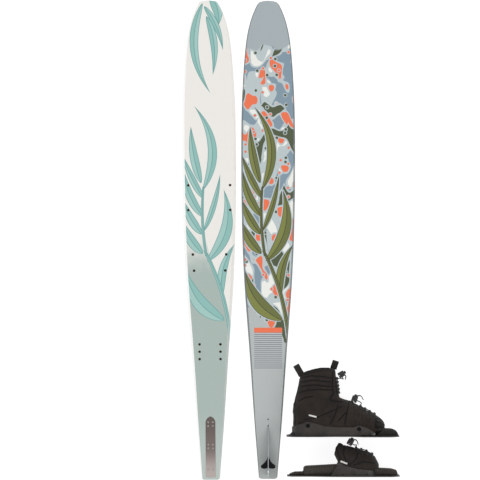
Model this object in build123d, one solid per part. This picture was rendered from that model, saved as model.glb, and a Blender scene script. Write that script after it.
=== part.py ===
"""A laid-out pair of slalom water skis with the boot and the rear toe plate that bolt to them.

Row frame, millimetres: the kit lies on the floor at z = 0, +Y runs from the tails to the tips and +Z is up.
The left ski lies deck up, on its fin and its forebody. The right ski lies base up, on its tip and tail.
The boot and the toe plate lie on their sides beside the right ski, with toes towards +X and soles towards -Y.
The origin is the middle of the layout's footprint, on the floor.

Every sub-part is made in the frame of the item it belongs to and is then placed in the layout:
  ski frame   x across, y from the tail end to the tip, z up from the flat middle of the base
  boot frame  x from the plate's heel end to the toe, y to the wearer's left, z up from its underside
"""
from build123d import *
import math
import os

# ------------------------------------------------------------------ ski
SKI_LENGTH = 1651.0
# (distance from the tail, half width, thickness) where the ski's section is set out
STATIONS = [
    (0.0, 31.5, 8.0),
    (60.0, 36.2, 10.0),
    (143.0, 43.0, 12.5),
    (308.0, 55.0, 17.5),
    (432.0, 63.5, 20.0),
    (597.0, 76.5, 22.0),
    (763.0, 86.5, 23.0),
    (887.0, 90.5, 23.0),
    (1011.0, 92.5, 22.5),
    (1176.0, 92.8, 21.0),
    (1300.0, 90.5, 18.5),
    (1382.0, 86.5, 16.5),
    (1465.0, 80.5, 14.0),
    (1548.0, 69.0, 11.0),
    (1606.0, 51.8, 9.0),
    (SKI_LENGTH, 30.5, 8.0),
]
SKIN = 1.5  # laminate thickness
GAP = 0.05  # glue line between core and laminate
TAIL_RISE, TAIL_RISE_FROM = 14.0, 450.0
TIP_RISE, TIP_RISE_FROM = 52.0, 800.0
TAIL_CORNER = 14.0
TIP_CORNER = 6.0
TIP_BOW = 5.0
WIDE = 120.0  # half width of cutting blocks that span the ski
TALL = 200.0  # reach of cutting blocks above and below it

# shares of the local thickness
BASE_BEVEL_WIDTH = 0.28
BASE_BEVEL_HEIGHT = 0.18
SIDEWALL_HEIGHT = 0.18
DECK_BEVEL_WIDTH = 0.40
TUNNEL_DEPTH = 0.10
DECK_CROWN = 0.03

# (distance from the tail, half spacing) of each row of binding inserts
INSERT_ROWS = [
    (415.0, 36.0),
    (440.4, 36.0),
    (465.8, 36.0),
    (720.0, 53.6),
    (775.5, 57.6),
    (929.0, 72.4),
    (1014.5, 72.0),
]
INSERT_BORE = 3.0
INSERT_RADIUS = 4.5
INSERT_DEPTH = 11.0
INSERT_CLEARANCE = 0.1
INSERT_SINK = 0.3
INSERT_FLOOR = 1.5

# ------------------------------------------------------------------ fin block and fin
PLATE_HALF = 16.5
PLATE_REAR, PLATE_SHOULDER, PLATE_NOSE = 9.0, 198.0, 218.0
PLATE_CORNER = 5.0
PLATE_SINK, PLATE_THICK = 0.2, 2.0
PLATE_SLAB_REAR, PLATE_SLAB_FRONT = -5.0, 230.0
RECESS_MARGIN = 0.5
RECESS_REACH = 9.0  # above the deck
BOX_HALF = 14.0
BOX_REAR, BOX_FRONT = 20.0, 214.0
BOX_UNDER_PLATE = 0.1
BOX_ABOVE_BASE = 3.4
BOX_FLOOR = 1.6
BOX_CLEARANCE = 0.1
CLAMP_INNER, CLAMP_OUTER = 1.5, 11.0
CLAMP_REAR, CLAMP_FRONT = 60.0, 207.0
CHANNEL_MARGIN = 0.2
SLOT_HALF = 1.7
SLOT_REAR, SLOT_FRONT = 22.0, 188.0
FIN_HALF = 1.3
TANG_REAR, TANG_FRONT = 30.0, 180.0
FIN_TOP_BELOW_DECK = 3.4
FIN_DEPTH = 62.0  # below the base at the tail
FIN_HOLE = 3.2
FIN_HOLES = [(128.0, -16.0), (108.0, -24.0), (88.0, -32.0)]
SCREW_X = 8.0
SCREW_ROWS = (108.0, 121.0, 185.0, 198.0)
TAIL_SCREW_Y = 35.0
HEAD_RADIUS, HEAD_HEIGHT = 3.1, 1.3
SCREW_RADIUS = 1.9
SCREW_HOLE = 2.05
SCREW_LENGTH = 4.7
SCREW_HOLE_REACH = 5.2
TAIL_HEAD_HEIGHT, TAIL_HEAD_SINK = 1.0, 0.3
TAIL_SCREW_LENGTH = 3.4
VENT_Y = 207.0
VENT_RADIUS = 2.6

# wing halves, set out from the front wing screw
WING_PIVOT = (70.0, -22.0)
WING_TILT = 8.0
WING_SPAN = 24.0
WING_THICK = 1.8
WING_NOSE, WING_TAIL = 14.0, -31.0
FLANGE_IN, FLANGE_OUT = 1.4, 2.9
FLANGE_HIGH, FLANGE_LOW = 5.0, -6.6
WING_DROP = -6.6
REAR_SCREW = 22.0
WING_SCREW_RADIUS = 1.8
WING_SCREW_HOLE = 2.0
WING_HEAD_RADIUS, WING_HEAD_HEIGHT = 3.4, 1.6
TILT_SLOT_DEG = 11.0

# ------------------------------------------------------------------ boot and toe plate
BINDING_PLATE_THICK = 4.0
PLATE_HOLE = 3.5
LIFT = 0.1  # gap under a piece that stands on the plate
HOLE_PITCH = 12.7
# (x of the middle row, half spacing across) of the three rows of holes at each end
BOOT_HOLES = [(72.0, 57.6), (311.0, 72.0)]
TOE_HOLES = [(36.0, 36.0), (316.0, 53.6)]
# (x, half width) of each plate's outline
BOOT_PLATE = [(0.0, 40.0), (22.0, 68.0), (115.0, 68.0), (170.0, 56.0), (225.0, 56.0), (265.0, 82.0),
              (360.0, 82.0), (386.0, 48.0)]
TOE_PLATE = [(0.0, 28.0), (16.0, 47.0), (80.0, 47.0), (140.0, 62.0), (200.0, 68.0), (362.0, 68.0),
             (386.0, 40.0)]
HEEL_WEDGE = [(1.0, 3.0), (12.0, 7.0), (20.0, 15.0), (40.0, 15.0), (40.0, 3.0)]

SHELL_WALL = 3.0
FIT = 0.3
LINER_WALL = 5.0
# (x, half width, bottom, top of the upright side, top) of the boot's foot
FOOT = [
    (10.0, 34.0, 7.4, 104.0, 136.0),
    (40.0, 39.0, 7.4, 104.0, 150.0),
    (75.0, 42.0, 7.4, 104.0, 158.0),
    (150.0, 44.0, 7.4, 90.0, 150.0),
    (185.0, 45.5, 7.4, 74.0, 134.0),
    (215.0, 47.5, 7.4, 62.0, 124.0),
    (252.0, 50.0, 8.0, 50.0, 103.0),
    (288.0, 48.0, 11.0, 41.0, 82.0),
    (318.0, 44.0, 18.0, 36.0, 66.0),
    (350.0, 36.0, 25.0, 34.0, 46.0),
]
FOOT_HEEL = (70.0, 48.0)  # centre x and radius of the round heel
FOOT_TOE = (289.0, 50.0)
# (z, x at the back, x at the front, half width) of the cuff
CUFF = [
    (80.0, 20.0, 184.0, 43.0),
    (100.0, 21.0, 185.0, 44.0),
    (130.0, 28.0, 184.0, 46.0),
    (160.0, 36.0, 180.0, 48.0),
    (200.0, 44.0, 173.0, 52.0),
    (250.0, 52.0, 166.0, 55.0),
]
CUFF_TOP = [(30.0, 200.0), (69.0, 212.0), (132.0, 224.0), (185.0, 216.0)]
LINER_ABOVE_CUFF = 9.0
TONGUE_TOP = 238.0
ANKLE = (75.0, 100.0)
LOWER_FRONT_RAY, LOWER_BACK_RAY = 12.0, 173.0
UPPER_FRONT_RAY, UPPER_BACK_RAY = 24.0, 167.0
RAY_GAP = 0.4

FRAME_WALL = 3.0
FRAME_TOP = [(12.0, 30.0), (41.0, 42.0), (73.0, 51.5), (104.0, 44.0), (129.0, 36.0), (180.0, 32.5),
             (228.0, 32.5), (248.0, 39.0), (276.0, 30.0), (304.0, 13.0)]
FRAME_BOLTS = [(73.0, 38.0), (248.0, 27.0)]
BOLT_HEAD, BOLT_HEAD_HEIGHT = 6.8, 2.6
BOLT_RADIUS, BOLT_HOLE = 3.0, 3.2
BOSS_RADIUS, BOSS_RISE = 8.2, 1.2
FOOT_SLOT = [(160.0, 300.0), (160.0, 105.0), (215.0, 106.0), (252.0, 86.0), (288.0, 66.0), (308.0, 56.0),
             (316.0, 100.0), (316.0, 300.0)]
FOOT_TONGUE = [(150.0, 300.0), (150.0, 95.0), (215.0, 95.0), (252.0, 75.0), (288.0, 56.0), (318.0, 44.0),
               (322.0, 60.0), (322.0, 300.0)]
INSOLE_SIDE = [(10.0, 10.0), (10.0, 20.0), (250.0, 20.5), (288.0, 23.6), (318.0, 30.0), (345.0, 38.0),
               (345.0, 10.0)]
BOOT_PAD = [(296.0, 4.1), (330.0, 26.0), (360.0, 25.5), (377.0, 19.0), (383.0, 8.0), (383.0, 4.1)]
BOOT_PAD_PLAN = (346.0, 84.0, 86.0, 22.0)  # middle x, length, width, corner radius

LACE_RADIUS = 1.75
SLOT = 13.0  # half width of the lace slot
TONGUE_HALF = 24.0
EYELET_Y = 18.0
EYELET_RISE = 5.2
EYELET_RING, EYELET_WIRE = 3.2, 1.1
EYELET_BASE = (4.0, 7.0, 1.0)
EYELET_REACH = 6.0  # how far the lace runs past an eyelet before it turns
LACE_APPROACH, LACE_UP = 8.0, 9.0
LACE_LIFT = 10.0  # how far the lace rises off its last eyelet
LOOP_RADIUS = 1.5
LOOP_CORNER = 18.0  # longest tangent of a free loop's arcs
# how far each lock's free loop reaches from it
BOOT_LOOP, CUFF_LOOP, TOE_LOOP = 32.0, 24.0, 30.0
FOOT_ROWS = (300.0, 284.0, 268.0, 252.0)
CUFF_ROWS = (150.0, 162.0, 174.0, 186.0, 198.0)
HOOD_ROWS = (290.0, 272.0, 254.0, 236.0)

LOCK_SIZE = (20.0, 15.0, 22.0)
LOCK_ROUND = 2.5
LOCK_BORE, LOCK_BORE_DEEP = 5.5, 14.0
LOCK_PORT, LOCK_PORT_UP = 2.5, 4.0
BUTTON_RADIUS, BUTTON_LOW, BUTTON_HIGH = 5.2, 12.2, 28.0
BUTTON_TOP_ROUND = 1.2
# (x, z, lean) of each cord lock's foot
BOOT_LOCK = (230.0, 117.0, 20.0)
CUFF_LOCK = (179.0, 207.0, 60.0)
TOE_LOCK = (212.0, 107.0, 30.0)
PULL_WIDTH, PULL_THICK = 22.0, 3.0
PULL_LEGS = 20.0  # how far the legs run on below the pull's own foot
# (place of the foot in x and z, lean, arch radius, height of the arch's centre)
HEEL_PULL = (51.0, 212.0, -30.0, 14.0, 24.0)
TONGUE_PULL = (163.0, 238.0, 18.0, 11.0, 12.0)
TAG_THICK = 0.6
# (x, z, length, height, lean)
BOOT_TAG = (89.0, 71.0, 27.0, 5.0, 15.0)
TOE_TAG = (194.0, 49.0, 25.0, 6.0, 21.0)

# (x, half width, bottom, top of the upright side, top) of the toe plate's hood
HOOD = [
    (150.0, 45.0, 4.4, 52.0, 122.0),
    (187.0, 48.0, 4.4, 52.0, 112.0),
    (209.0, 50.0, 4.4, 50.0, 104.0),
    (248.0, 51.0, 4.4, 46.0, 92.0),
    (276.0, 49.0, 4.4, 42.0, 83.0),
    (305.0, 45.0, 4.4, 34.0, 66.0),
    (330.0, 40.0, 4.4, 28.0, 48.0),
]
HOOD_TOE = (265.0, 52.0)
HOOD_WALL = 5.0
HOOD_BOTTOM = 10.2
HOOD_SLOT = [(215.0, 200.0), (215.0, 86.0), (248.0, 76.0), (276.0, 66.0), (300.0, 54.0), (300.0, 200.0)]
HOOD_TONGUE = [(206.0, 200.0), (206.0, 70.0), (248.0, 62.0), (276.0, 54.0), (304.0, 44.0), (304.0, 200.0)]
HOOD_MOUTH = [(184.0, 125.0), (168.0, 96.0), (163.0, 72.0), (174.0, 50.0), (186.0, 10.2)]
TOE_PAD = [(4.0, 4.1), (10.0, 9.0), (26.0, 13.5), (56.0, 14.0), (57.0, 30.0), (64.0, 33.0), (168.0, 39.0),
           (240.0, 36.0), (315.0, 26.0), (360.0, 24.0), (376.0, 20.0), (381.0, 8.0), (381.0, 4.1)]
TOE_PAD_PLAN = (192.5, 377.0, 76.0, 30.0)
BRACKET_WALL = 2.5
BRACKET_SIDE = [(150.0, 4.1), (178.0, 50.0), (196.0, 38.0), (240.0, 27.0), (296.0, 20.0), (300.0, 4.1)]
FLANGE_WIDE, FLANGE_THICK = 9.0, 2.5
FLANGE_X = (172.0, 292.0)
BRACKET_SCREW_RADIUS = 1.8
BRACKET_SCREWS = (190.0, 232.0, 274.0)

# ------------------------------------------------------------------ layout
DECK_UP_AT = (-100.5, -825.5, 0.33)  # x, y of the tail's end and turn in degrees
BASE_UP_AT = (97.1, -825.5, 0.0)
BOOT_AT = (159.7, -673.8)  # x, y of the plate's heel end
TOE_PLATE_AT = (161.9, -811.2)


def rocker(y):
    """Height of the base line above the ski's flat middle."""
    if y < TAIL_RISE_FROM:
        return TAIL_RISE * ((TAIL_RISE_FROM - y) / TAIL_RISE_FROM) ** 2
    if y > TIP_RISE_FROM:
        return TIP_RISE * ((y - TIP_RISE_FROM) / (SKI_LENGTH - TIP_RISE_FROM)) ** 2
    return 0.0


def thickness(y):
    for (y0, _, thick0), (y1, _, thick1) in zip(STATIONS, STATIONS[1:]):
        if y <= y1:
            return thick0 + (thick1 - thick0) * (y - y0) / (y1 - y0)
    return STATIONS[-1][2]


def deck(y):
    """Height of the deck's edge line."""
    return rocker(y) + thickness(y)


# ------------------------------------------------------------------ shared helpers
TESSELLATION = 0.1
FROM_BOTTOM = (Align.CENTER, Align.CENTER, Align.MIN)
FROM_TOP = (Align.CENTER, Align.CENTER, Align.MAX)


def group(shapes):
    """One compound of separate solids."""
    return Compound([solid for shape in shapes for solid in shape.solids()])


# ------------------------------------------------------------------ ski body
def ski_section(station, inset):
    """Closed wire of the ski's section at one station, drawn in from the outside by inset."""
    y, half, full = station
    thick = full - 2 * inset
    half = half - 2 * inset
    low = rocker(y) + inset
    high = low + thick
    edge_low = low + BASE_BEVEL_HEIGHT * thick
    edge_high = edge_low + SIDEWALL_HEIGHT * thick
    base_half = half - BASE_BEVEL_WIDTH * thick
    deck_half = half - DECK_BEVEL_WIDTH * thick
    tunnel = Vector(0, y, low + TUNNEL_DEPTH * thick)
    crown = Vector(0, y, high + DECK_CROWN * thick)
    corners = [(base_half, low), (half, edge_low), (half, edge_high), (deck_half, high)]
    right = [Vector(x, y, z) for x, z in corners]
    left = [Vector(-x, y, z) for x, z in reversed(corners)]
    edges = [Edge.make_three_point_arc(left[-1], tunnel, right[0])]
    edges += [Edge.make_line(a, b) for a, b in zip(right, right[1:])]
    edges.append(Edge.make_three_point_arc(right[-1], crown, left[0]))
    edges += [Edge.make_line(a, b) for a, b in zip(left, left[1:])]
    return Wire(edges)


def ski_loft(stations, inset):
    return Solid.make_loft([ski_section(s, inset) for s in stations])


def outline_block():
    """Upright block of the ski's outline at its ends: rounded tail corners and a bowed tip."""
    tail_half = STATIONS[0][1]
    tip_half = STATIONS[-1][1]
    tip_shoulder = SKI_LENGTH - TIP_BOW
    edges = [
        Line((-tail_half, 0), (tail_half, 0)),
        Line((tail_half, 0), (WIDE, 3 * WIDE)),
        Line((WIDE, 3 * WIDE), (WIDE, SKI_LENGTH - WIDE)),
        Line((WIDE, SKI_LENGTH - WIDE), (tip_half, tip_shoulder)),
        ThreePointArc((tip_half, tip_shoulder), (0, SKI_LENGTH), (-tip_half, tip_shoulder)),
        Line((-tip_half, tip_shoulder), (-WIDE, SKI_LENGTH - WIDE)),
        Line((-WIDE, SKI_LENGTH - WIDE), (-WIDE, 3 * WIDE)),
        Line((-WIDE, 3 * WIDE), (-tail_half, 0)),
    ]
    face = make_face(Curve() + edges)
    tail_corners = face.vertices().filter_by_position(Axis.Y, -1, 1)
    face = fillet(tail_corners, TAIL_CORNER)
    tip_corners = face.vertices().filter_by_position(Axis.Y, tip_shoulder - 1, tip_shoulder + 1)
    face = fillet(tip_corners, TIP_CORNER)
    return Pos(0, 0, -TALL) * extrude(face, 2 * TALL)


def above_parting():
    """Block above the line along the sidewalls where the top laminate meets the base laminate."""
    share = BASE_BEVEL_HEIGHT + SIDEWALL_HEIGHT / 2
    line = [(0, y, rocker(y) + share * thick) for y, _, thick in STATIONS]
    low_end, high_end = line[0], line[-1]
    edges = [
        Spline(*line),
        Line(high_end, (0, SKI_LENGTH, TALL)),
        Line((0, SKI_LENGTH, TALL), (0, 0, TALL)),
        Line((0, 0, TALL), low_end),
    ]
    return extrude(make_face(Curve() + edges), WIDE, dir=(1, 0, 0), both=True)


def slab(low, high, x0, x1, y0, y1, steps=5):
    """Block from x0 to x1 and y0 to y1 whose underside and top follow two curves along the ski."""
    sections = []
    for i in range(steps + 1):
        y = y0 + (y1 - y0) * i / steps
        corners = [(x0, low(y)), (x1, low(y)), (x1, high(y)), (x0, high(y))]
        sections.append(Wire.make_polygon([Vector(x, y, z) for x, z in corners], close=True))
    return Solid.make_loft(sections)


def deck_less(drop):
    return lambda y: deck(y) - drop


def base_plus(rise):
    return lambda y: rocker(y) + rise


def plate_outline(margin):
    """Arch-nosed outline of the fin block's plate, grown by margin."""
    half = PLATE_HALF + margin
    rear = PLATE_REAR - margin
    nose = PLATE_NOSE + margin
    bulge = (half * 0.62, (PLATE_SHOULDER + nose) / 2 + 3.5)
    edges = [
        Line((-half, rear), (half, rear)),
        Line((half, rear), (half, PLATE_SHOULDER)),
        ThreePointArc((half, PLATE_SHOULDER), bulge, (0, nose)),
        ThreePointArc((0, nose), (-bulge[0], bulge[1]), (-half, PLATE_SHOULDER)),
        Line((-half, PLATE_SHOULDER), (-half, rear)),
    ]
    face = make_face(Curve() + edges)
    corners = face.vertices().filter_by_position(Axis.Y, rear - 1, rear + 1)
    return Pos(0, 0, -TALL) * extrude(fillet(corners, PLATE_CORNER + margin), 2 * TALL)


def plate_slab(low_drop, high_drop):
    """Full-width block around the fin block's plate, between two depths below the deck."""
    return slab(deck_less(low_drop), deck_less(high_drop), -WIDE, WIDE, PLATE_SLAB_REAR, PLATE_SLAB_FRONT)


def fin_recess():
    """What the fin block takes out of the ski: the plate's recess, the box's pocket and the slot."""
    depth = PLATE_SINK + PLATE_THICK + BOX_UNDER_PLATE / 2
    top = plate_slab(depth, -RECESS_REACH) & plate_outline(RECESS_MARGIN)
    half = BOX_HALF + BOX_CLEARANCE
    pocket = slab(base_plus(BOX_ABOVE_BASE - BOX_CLEARANCE), deck_less(depth / 2), -half, half,
                  BOX_REAR - BOX_CLEARANCE, BOX_FRONT + BOX_CLEARANCE)
    return top + pocket + slot_block() + vent_hole()


def slot_block():
    length = SLOT_FRONT - SLOT_REAR
    return Pos(0, (SLOT_FRONT + SLOT_REAR) / 2, 0) * Box(2 * SLOT_HALF, length, 60)


def vent_hole():
    return Pos(0, VENT_Y, rocker(VENT_Y)) * Cylinder(VENT_RADIUS + BOX_CLEARANCE, 2 * BOX_ABOVE_BASE)


def insert_places():
    return [(side * half, y) for y, half in INSERT_ROWS for side in (-1, 1)]


def insert_holes():
    depth = INSERT_DEPTH + INSERT_CLEARANCE
    radius = INSERT_RADIUS + INSERT_CLEARANCE
    hole = Cylinder(radius, 3 * depth, align=FROM_BOTTOM)
    return [Pos(x, y, deck(y) - depth) * hole for x, y in insert_places()]


def make_inserts():
    """Flanged threaded bushes, open at the deck and blind below."""
    bushes = []
    for x, y in insert_places():
        body = Cylinder(INSERT_RADIUS, INSERT_DEPTH - INSERT_SINK, align=FROM_BOTTOM)
        bore = Pos(0, 0, INSERT_FLOOR) * Cylinder(INSERT_BORE, INSERT_DEPTH, align=FROM_BOTTOM)
        bushes.append(Pos(x, y, deck(y) - INSERT_DEPTH) * (body - bore))
    return group(bushes)


def make_ski_body():
    """Top laminate, base laminate and foam core of one ski."""
    outer = ski_loft(STATIONS, 0.0) & outline_block()
    cavity = ski_loft(STATIONS[1:-1], SKIN)
    core = ski_loft(STATIONS[1:-1], SKIN + GAP)
    upper_region = above_parting()
    recess = fin_recess()
    skins = outer - cavity - recess
    top = skins & upper_region
    base = skins - upper_region
    for hole in insert_holes():
        top = top - hole
        core = core - hole
    core = core - recess
    return {"top_shell": top, "base_shell": base, "core": core}


# ------------------------------------------------------------------ fin block, fin and wing
def screw(head_radius, head_height, radius, length):
    """Socket screw standing on z = 0: head above, shank below."""
    head = Cylinder(head_radius, head_height, align=FROM_BOTTOM)
    head = fillet(head.edges().filter_by(GeomType.CIRCLE).sort_by(Axis.Z)[-1], head_height * 0.45)
    socket = Pos(0, 0, head_height) * extrude(RegularPolygon(head_radius * 0.45, 6), -head_height * 0.6)
    shank = Cylinder(radius, length, align=FROM_TOP)
    return head - socket + shank


def plate_screw_places():
    return [(side * SCREW_X, y) for y in SCREW_ROWS for side in (-1, 1)]


def on_plate(x, y):
    """Place on the fin block plate's top face, square to it."""
    slope = math.degrees(math.atan(deck(y + 1) - deck(y)))
    return Pos(x, y, deck(y) - PLATE_SINK + LIFT / 2) * Rot(slope, 0, 0)


def make_fin_block():
    depth = PLATE_SINK + PLATE_THICK
    plate = plate_slab(depth, PLATE_SINK) & plate_outline(0)
    box_top = deck_less(depth + BOX_UNDER_PLATE)
    box = slab(base_plus(BOX_ABOVE_BASE), box_top, -BOX_HALF, BOX_HALF, BOX_REAR, BOX_FRONT)
    margin = CHANNEL_MARGIN
    half = CLAMP_OUTER + margin
    channel = slab(base_plus(BOX_ABOVE_BASE + BOX_FLOOR), deck_less(0), -half, half, CLAMP_REAR - margin,
                   CLAMP_FRONT + margin)
    box = box - channel - slot_block()
    clamp_low = base_plus(BOX_ABOVE_BASE + BOX_FLOOR + margin)
    clamp_top = deck_less(depth + BOX_UNDER_PLATE + margin)
    clamps = [slab(clamp_low, clamp_top, x0, x1, CLAMP_REAR, CLAMP_FRONT)
              for x0, x1 in ((CLAMP_INNER, CLAMP_OUTER), (-CLAMP_OUTER, -CLAMP_INNER))]
    screws = []
    for x, y in plate_screw_places():
        hole = on_plate(x, y) * Cylinder(SCREW_HOLE, 2 * SCREW_HOLE_REACH + 1)
        plate = plate - hole
        clamps = [clamp - hole for clamp in clamps]
        screws.append(on_plate(x, y) * screw(HEAD_RADIUS, HEAD_HEIGHT, SCREW_RADIUS, SCREW_LENGTH))
    for x in (-SCREW_X, SCREW_X):
        head_hole = Cylinder(HEAD_RADIUS + 0.2, 2 * (TAIL_HEAD_HEIGHT + TAIL_HEAD_SINK))
        plate = plate - on_plate(x, TAIL_SCREW_Y) * head_hole
        hole = on_plate(x, TAIL_SCREW_Y) * Cylinder(SCREW_HOLE, 2 * SCREW_HOLE_REACH)
        plate = plate - hole
        box = box - hole
        place = on_plate(x, TAIL_SCREW_Y) * Pos(0, 0, -TAIL_HEAD_SINK - TAIL_HEAD_HEIGHT)
        screws.append(place * screw(HEAD_RADIUS, TAIL_HEAD_HEIGHT, SCREW_RADIUS, TAIL_SCREW_LENGTH))
    return {
        "fin_plate": plate,
        "fin_box": box,
        "fin_clamps": group(clamps),
        "fin_screws": group(screws),
    }


def wing_place():
    """Wing frame in the ski frame: origin at the front wing screw, tilted nose down."""
    return Pos(0, *WING_PIVOT) * Rot(-WING_TILT, 0, 0)


def make_fin():
    """Aluminium fin: tang up into the block, swept blade below the base."""
    base_rear = rocker(TANG_REAR)
    bottom = rocker(0) - FIN_DEPTH
    blade_rear = 13.0
    tang_top = [(y, deck(y) - FIN_TOP_BELOW_DECK) for y in (TANG_REAR, TANG_FRONT)]
    root_front = (TANG_FRONT, rocker(TANG_FRONT) - 0.5)
    root_rear = (blade_rear, base_rear - 1.5)
    leading = [root_front, (150.0, -15.0), (112.0, -33.0), (76.0, -44.5), (48.0, bottom)]
    trailing = [(22.0, bottom + 4.0), (blade_rear, bottom + 22.0)]

    def at(points):
        return [(0, y, z) for y, z in points]

    edges = [
        Line(*at([tang_top[0], tang_top[1]])),
        Line(*at([tang_top[1], root_front])),
        Spline(*at(leading)),
        ThreePointArc(*at([leading[-1], trailing[0], trailing[1]])),
        Line(*at([trailing[1], root_rear])),
        Line(*at([root_rear, (TANG_REAR, base_rear - 1.5)])),
        Line(*at([(TANG_REAR, base_rear - 1.5), tang_top[0]])),
    ]
    fin = extrude(make_face(Curve() + edges), FIN_HALF, dir=(1, 0, 0), both=True)
    for y, z in FIN_HOLES:
        fin = fin - Pos(0, y, z) * Rot(0, 90, 0) * Cylinder(FIN_HOLE, 20)
    pivot = Pos(0, *WING_PIVOT) * Rot(0, 90, 0) * Cylinder(WING_SCREW_HOLE, 20)
    return fin - pivot - tilt_slot()


def tilt_slot():
    """Arc slot in the fin for the rear wing screw."""
    start = 180.0 - WING_TILT
    middle = CenterArc((0, 0), REAR_SCREW, start - TILT_SLOT_DEG, 2 * TILT_SLOT_DEG)
    band = SlotArc(middle, 2 * WING_SCREW_HOLE)
    # the sketch's x runs along the ski's +Y and its y up
    side = Plane(origin=(0, *WING_PIVOT), x_dir=(0, 1, 0), z_dir=(1, 0, 0))
    return extrude(side * band, 10, both=True)


def make_wing_half(side):
    """One wing half: swept blade with a flange that bolts to the fin."""
    span = WING_SPAN
    edges = [
        Line((0, WING_TAIL + 3.0), (0, WING_NOSE)),
        ThreePointArc((0, WING_NOSE), (span * 0.30, WING_NOSE - 18.0), (span * 0.86, -17.5)),
        ThreePointArc((span * 0.86, -17.5), (span, -23.5), (span * 0.84, WING_TAIL + 1.5)),
        ThreePointArc((span * 0.84, WING_TAIL + 1.5), (span * 0.45, WING_TAIL), (0, WING_TAIL + 3.0)),
    ]
    blade = Pos(FLANGE_IN, 0, WING_DROP) * extrude(make_face(Curve() + edges), WING_THICK)
    flange_rear, flange_front = WING_TAIL + 3.0, WING_NOSE - 8.0
    sizes = (FLANGE_OUT - FLANGE_IN, flange_front - flange_rear, FLANGE_HIGH - FLANGE_LOW)
    flange = Pos(FLANGE_IN, flange_rear, FLANGE_LOW) * Box(*sizes, align=Align.MIN)
    half = blade + flange
    for y in (0.0, -REAR_SCREW):
        half = half - Pos(0, y, 0) * Rot(0, 90, 0) * Cylinder(WING_SCREW_HOLE, 20)
    if side < 0:
        half = mirror(half, Plane.YZ)
    return wing_place() * half


def make_wing_screws():
    """Two screws through the flanges and the fin, each with its nut."""
    pieces = []
    grip = 2 * FLANGE_OUT
    for y in (0.0, -REAR_SCREW):
        place = wing_place() * Pos(FLANGE_OUT, y, 0) * Rot(0, 90, 0)
        pieces.append(place * screw(WING_HEAD_RADIUS, WING_HEAD_HEIGHT, WING_SCREW_RADIUS, grip + 2.4))
        nut = extrude(RegularPolygon(3.6, 6), -2.4) - Cylinder(WING_SCREW_RADIUS + 0.05, 10)
        pieces.append(place * Pos(0, 0, -grip) * nut)
    return group(pieces)


def make_ski():
    parts = make_ski_body()
    parts["inserts"] = make_inserts()
    parts.update(make_fin_block())
    parts["fin"] = make_fin()
    parts["wing"] = group([make_wing_half(-1), make_wing_half(1)])
    parts["wing_screws"] = make_wing_screws()
    return parts


# ------------------------------------------------------------------ binding plates and boot body
def side_profile(points, reach=WIDE):
    """Block with the given outline in x and z, from y = -reach to y = reach."""
    face = make_face(Polyline([(x, 0, z) for x, z in points], close=True))
    return extrude(face, reach, dir=(0, 1, 0), both=True)


def binding_plate(halves, holes):
    outline = [(x, half) for x, half in halves] + [(x, -half) for x, half in reversed(halves)]
    face = make_face(Polyline(outline, close=True))
    inner = face.vertices().filter_by_position(Axis.X, 1, halves[-1][0] - 1)
    face = fillet(inner, 10)
    ends = face.vertices().filter_by_position(Axis.X, -1, 1) + face.vertices().filter_by_position(
        Axis.X, halves[-1][0] - 1, halves[-1][0] + 1)
    plate = extrude(fillet(ends, 6), BINDING_PLATE_THICK)
    for x, half in holes:
        for step in (-HOLE_PITCH, 0.0, HOLE_PITCH):
            for side in (-1, 1):
                plate = plate - Pos(x + step, side * half, 0) * Cylinder(PLATE_HOLE, 20)
    return plate


def arched_wire(row, inset):
    """Section with a flat bottom, upright sides and a half-ellipse top."""
    x, half, bottom, side, top = row
    half, bottom, top = half - inset, bottom + inset, top - inset
    low_right, low_left = Vector(x, half, bottom), Vector(x, -half, bottom)
    right, left = Vector(x, half, side), Vector(x, -half, side)
    across = Plane(origin=(x, 0, side), x_dir=(0, 1, 0), z_dir=(1, 0, 0))
    arch = Edge.make_ellipse(half, top - side, across, start_angle=0, end_angle=180)
    return Wire([Edge.make_line(low_left, low_right), Edge.make_line(low_right, right), arch,
                 Edge.make_line(left, low_left)])


def arched_loft(rows, inset):
    return Solid.make_loft([arched_wire(row, inset) for row in rows], ruled=True)


def foot_solid(inset):
    """The boot's foot, drawn in by inset, with its round heel and toe."""
    heel_x, heel_radius = FOOT_HEEL
    toe_x, toe_radius = FOOT_TOE
    plan = Pos(heel_x, 0) * Circle(heel_radius - inset) + Pos(toe_x, 0) * Circle(toe_radius - inset)
    plan += Pos((heel_x + toe_x) / 2, 0) * Rectangle(toe_x - heel_x, WIDE)
    return arched_loft(FOOT, inset) & extrude(plan, TALL)


def hood_solid(inset):
    toe_x, toe_radius = HOOD_TOE
    plan = Pos(toe_x, 0) * Circle(toe_radius - inset) + Pos(toe_x - WIDE / 2, 0) * Rectangle(WIDE, WIDE)
    return arched_loft(HOOD, inset) & extrude(plan, TALL)


def cuff_solid(inset):
    sections = []
    for z, back, front, half in CUFF:
        plane = Plane(origin=((back + front) / 2, 0, z))
        sections.append(Wire([Edge.make_ellipse((front - back) / 2 - inset, half - inset, plane)]))
    return Solid.make_loft(sections, ruled=True)


def ray_region(front_deg, back_deg, gap):
    """Block above two rays from the ankle, its corner lifted by gap."""
    x, z = ANKLE
    z += gap
    front = (x + 400, z + 400 * math.tan(math.radians(front_deg)))
    back = (x - 200, z + 200 * math.tan(math.radians(180 - back_deg)))
    return side_profile([(x, z), front, (front[0], 500), (back[0], 500), back])


def foot_at(rows, x, y):
    """Point on the outside of an arched body's top, at a place across it."""
    for lower, upper in zip(rows, rows[1:]):
        if x <= upper[0]:
            share = (x - lower[0]) / (upper[0] - lower[0])
            _, half, _, side, top = [a + share * (b - a) for a, b in zip(lower, upper)]
            break
    return Vector(x, y, side + (top - side) * math.sqrt(1 - (y / half) ** 2))


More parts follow.
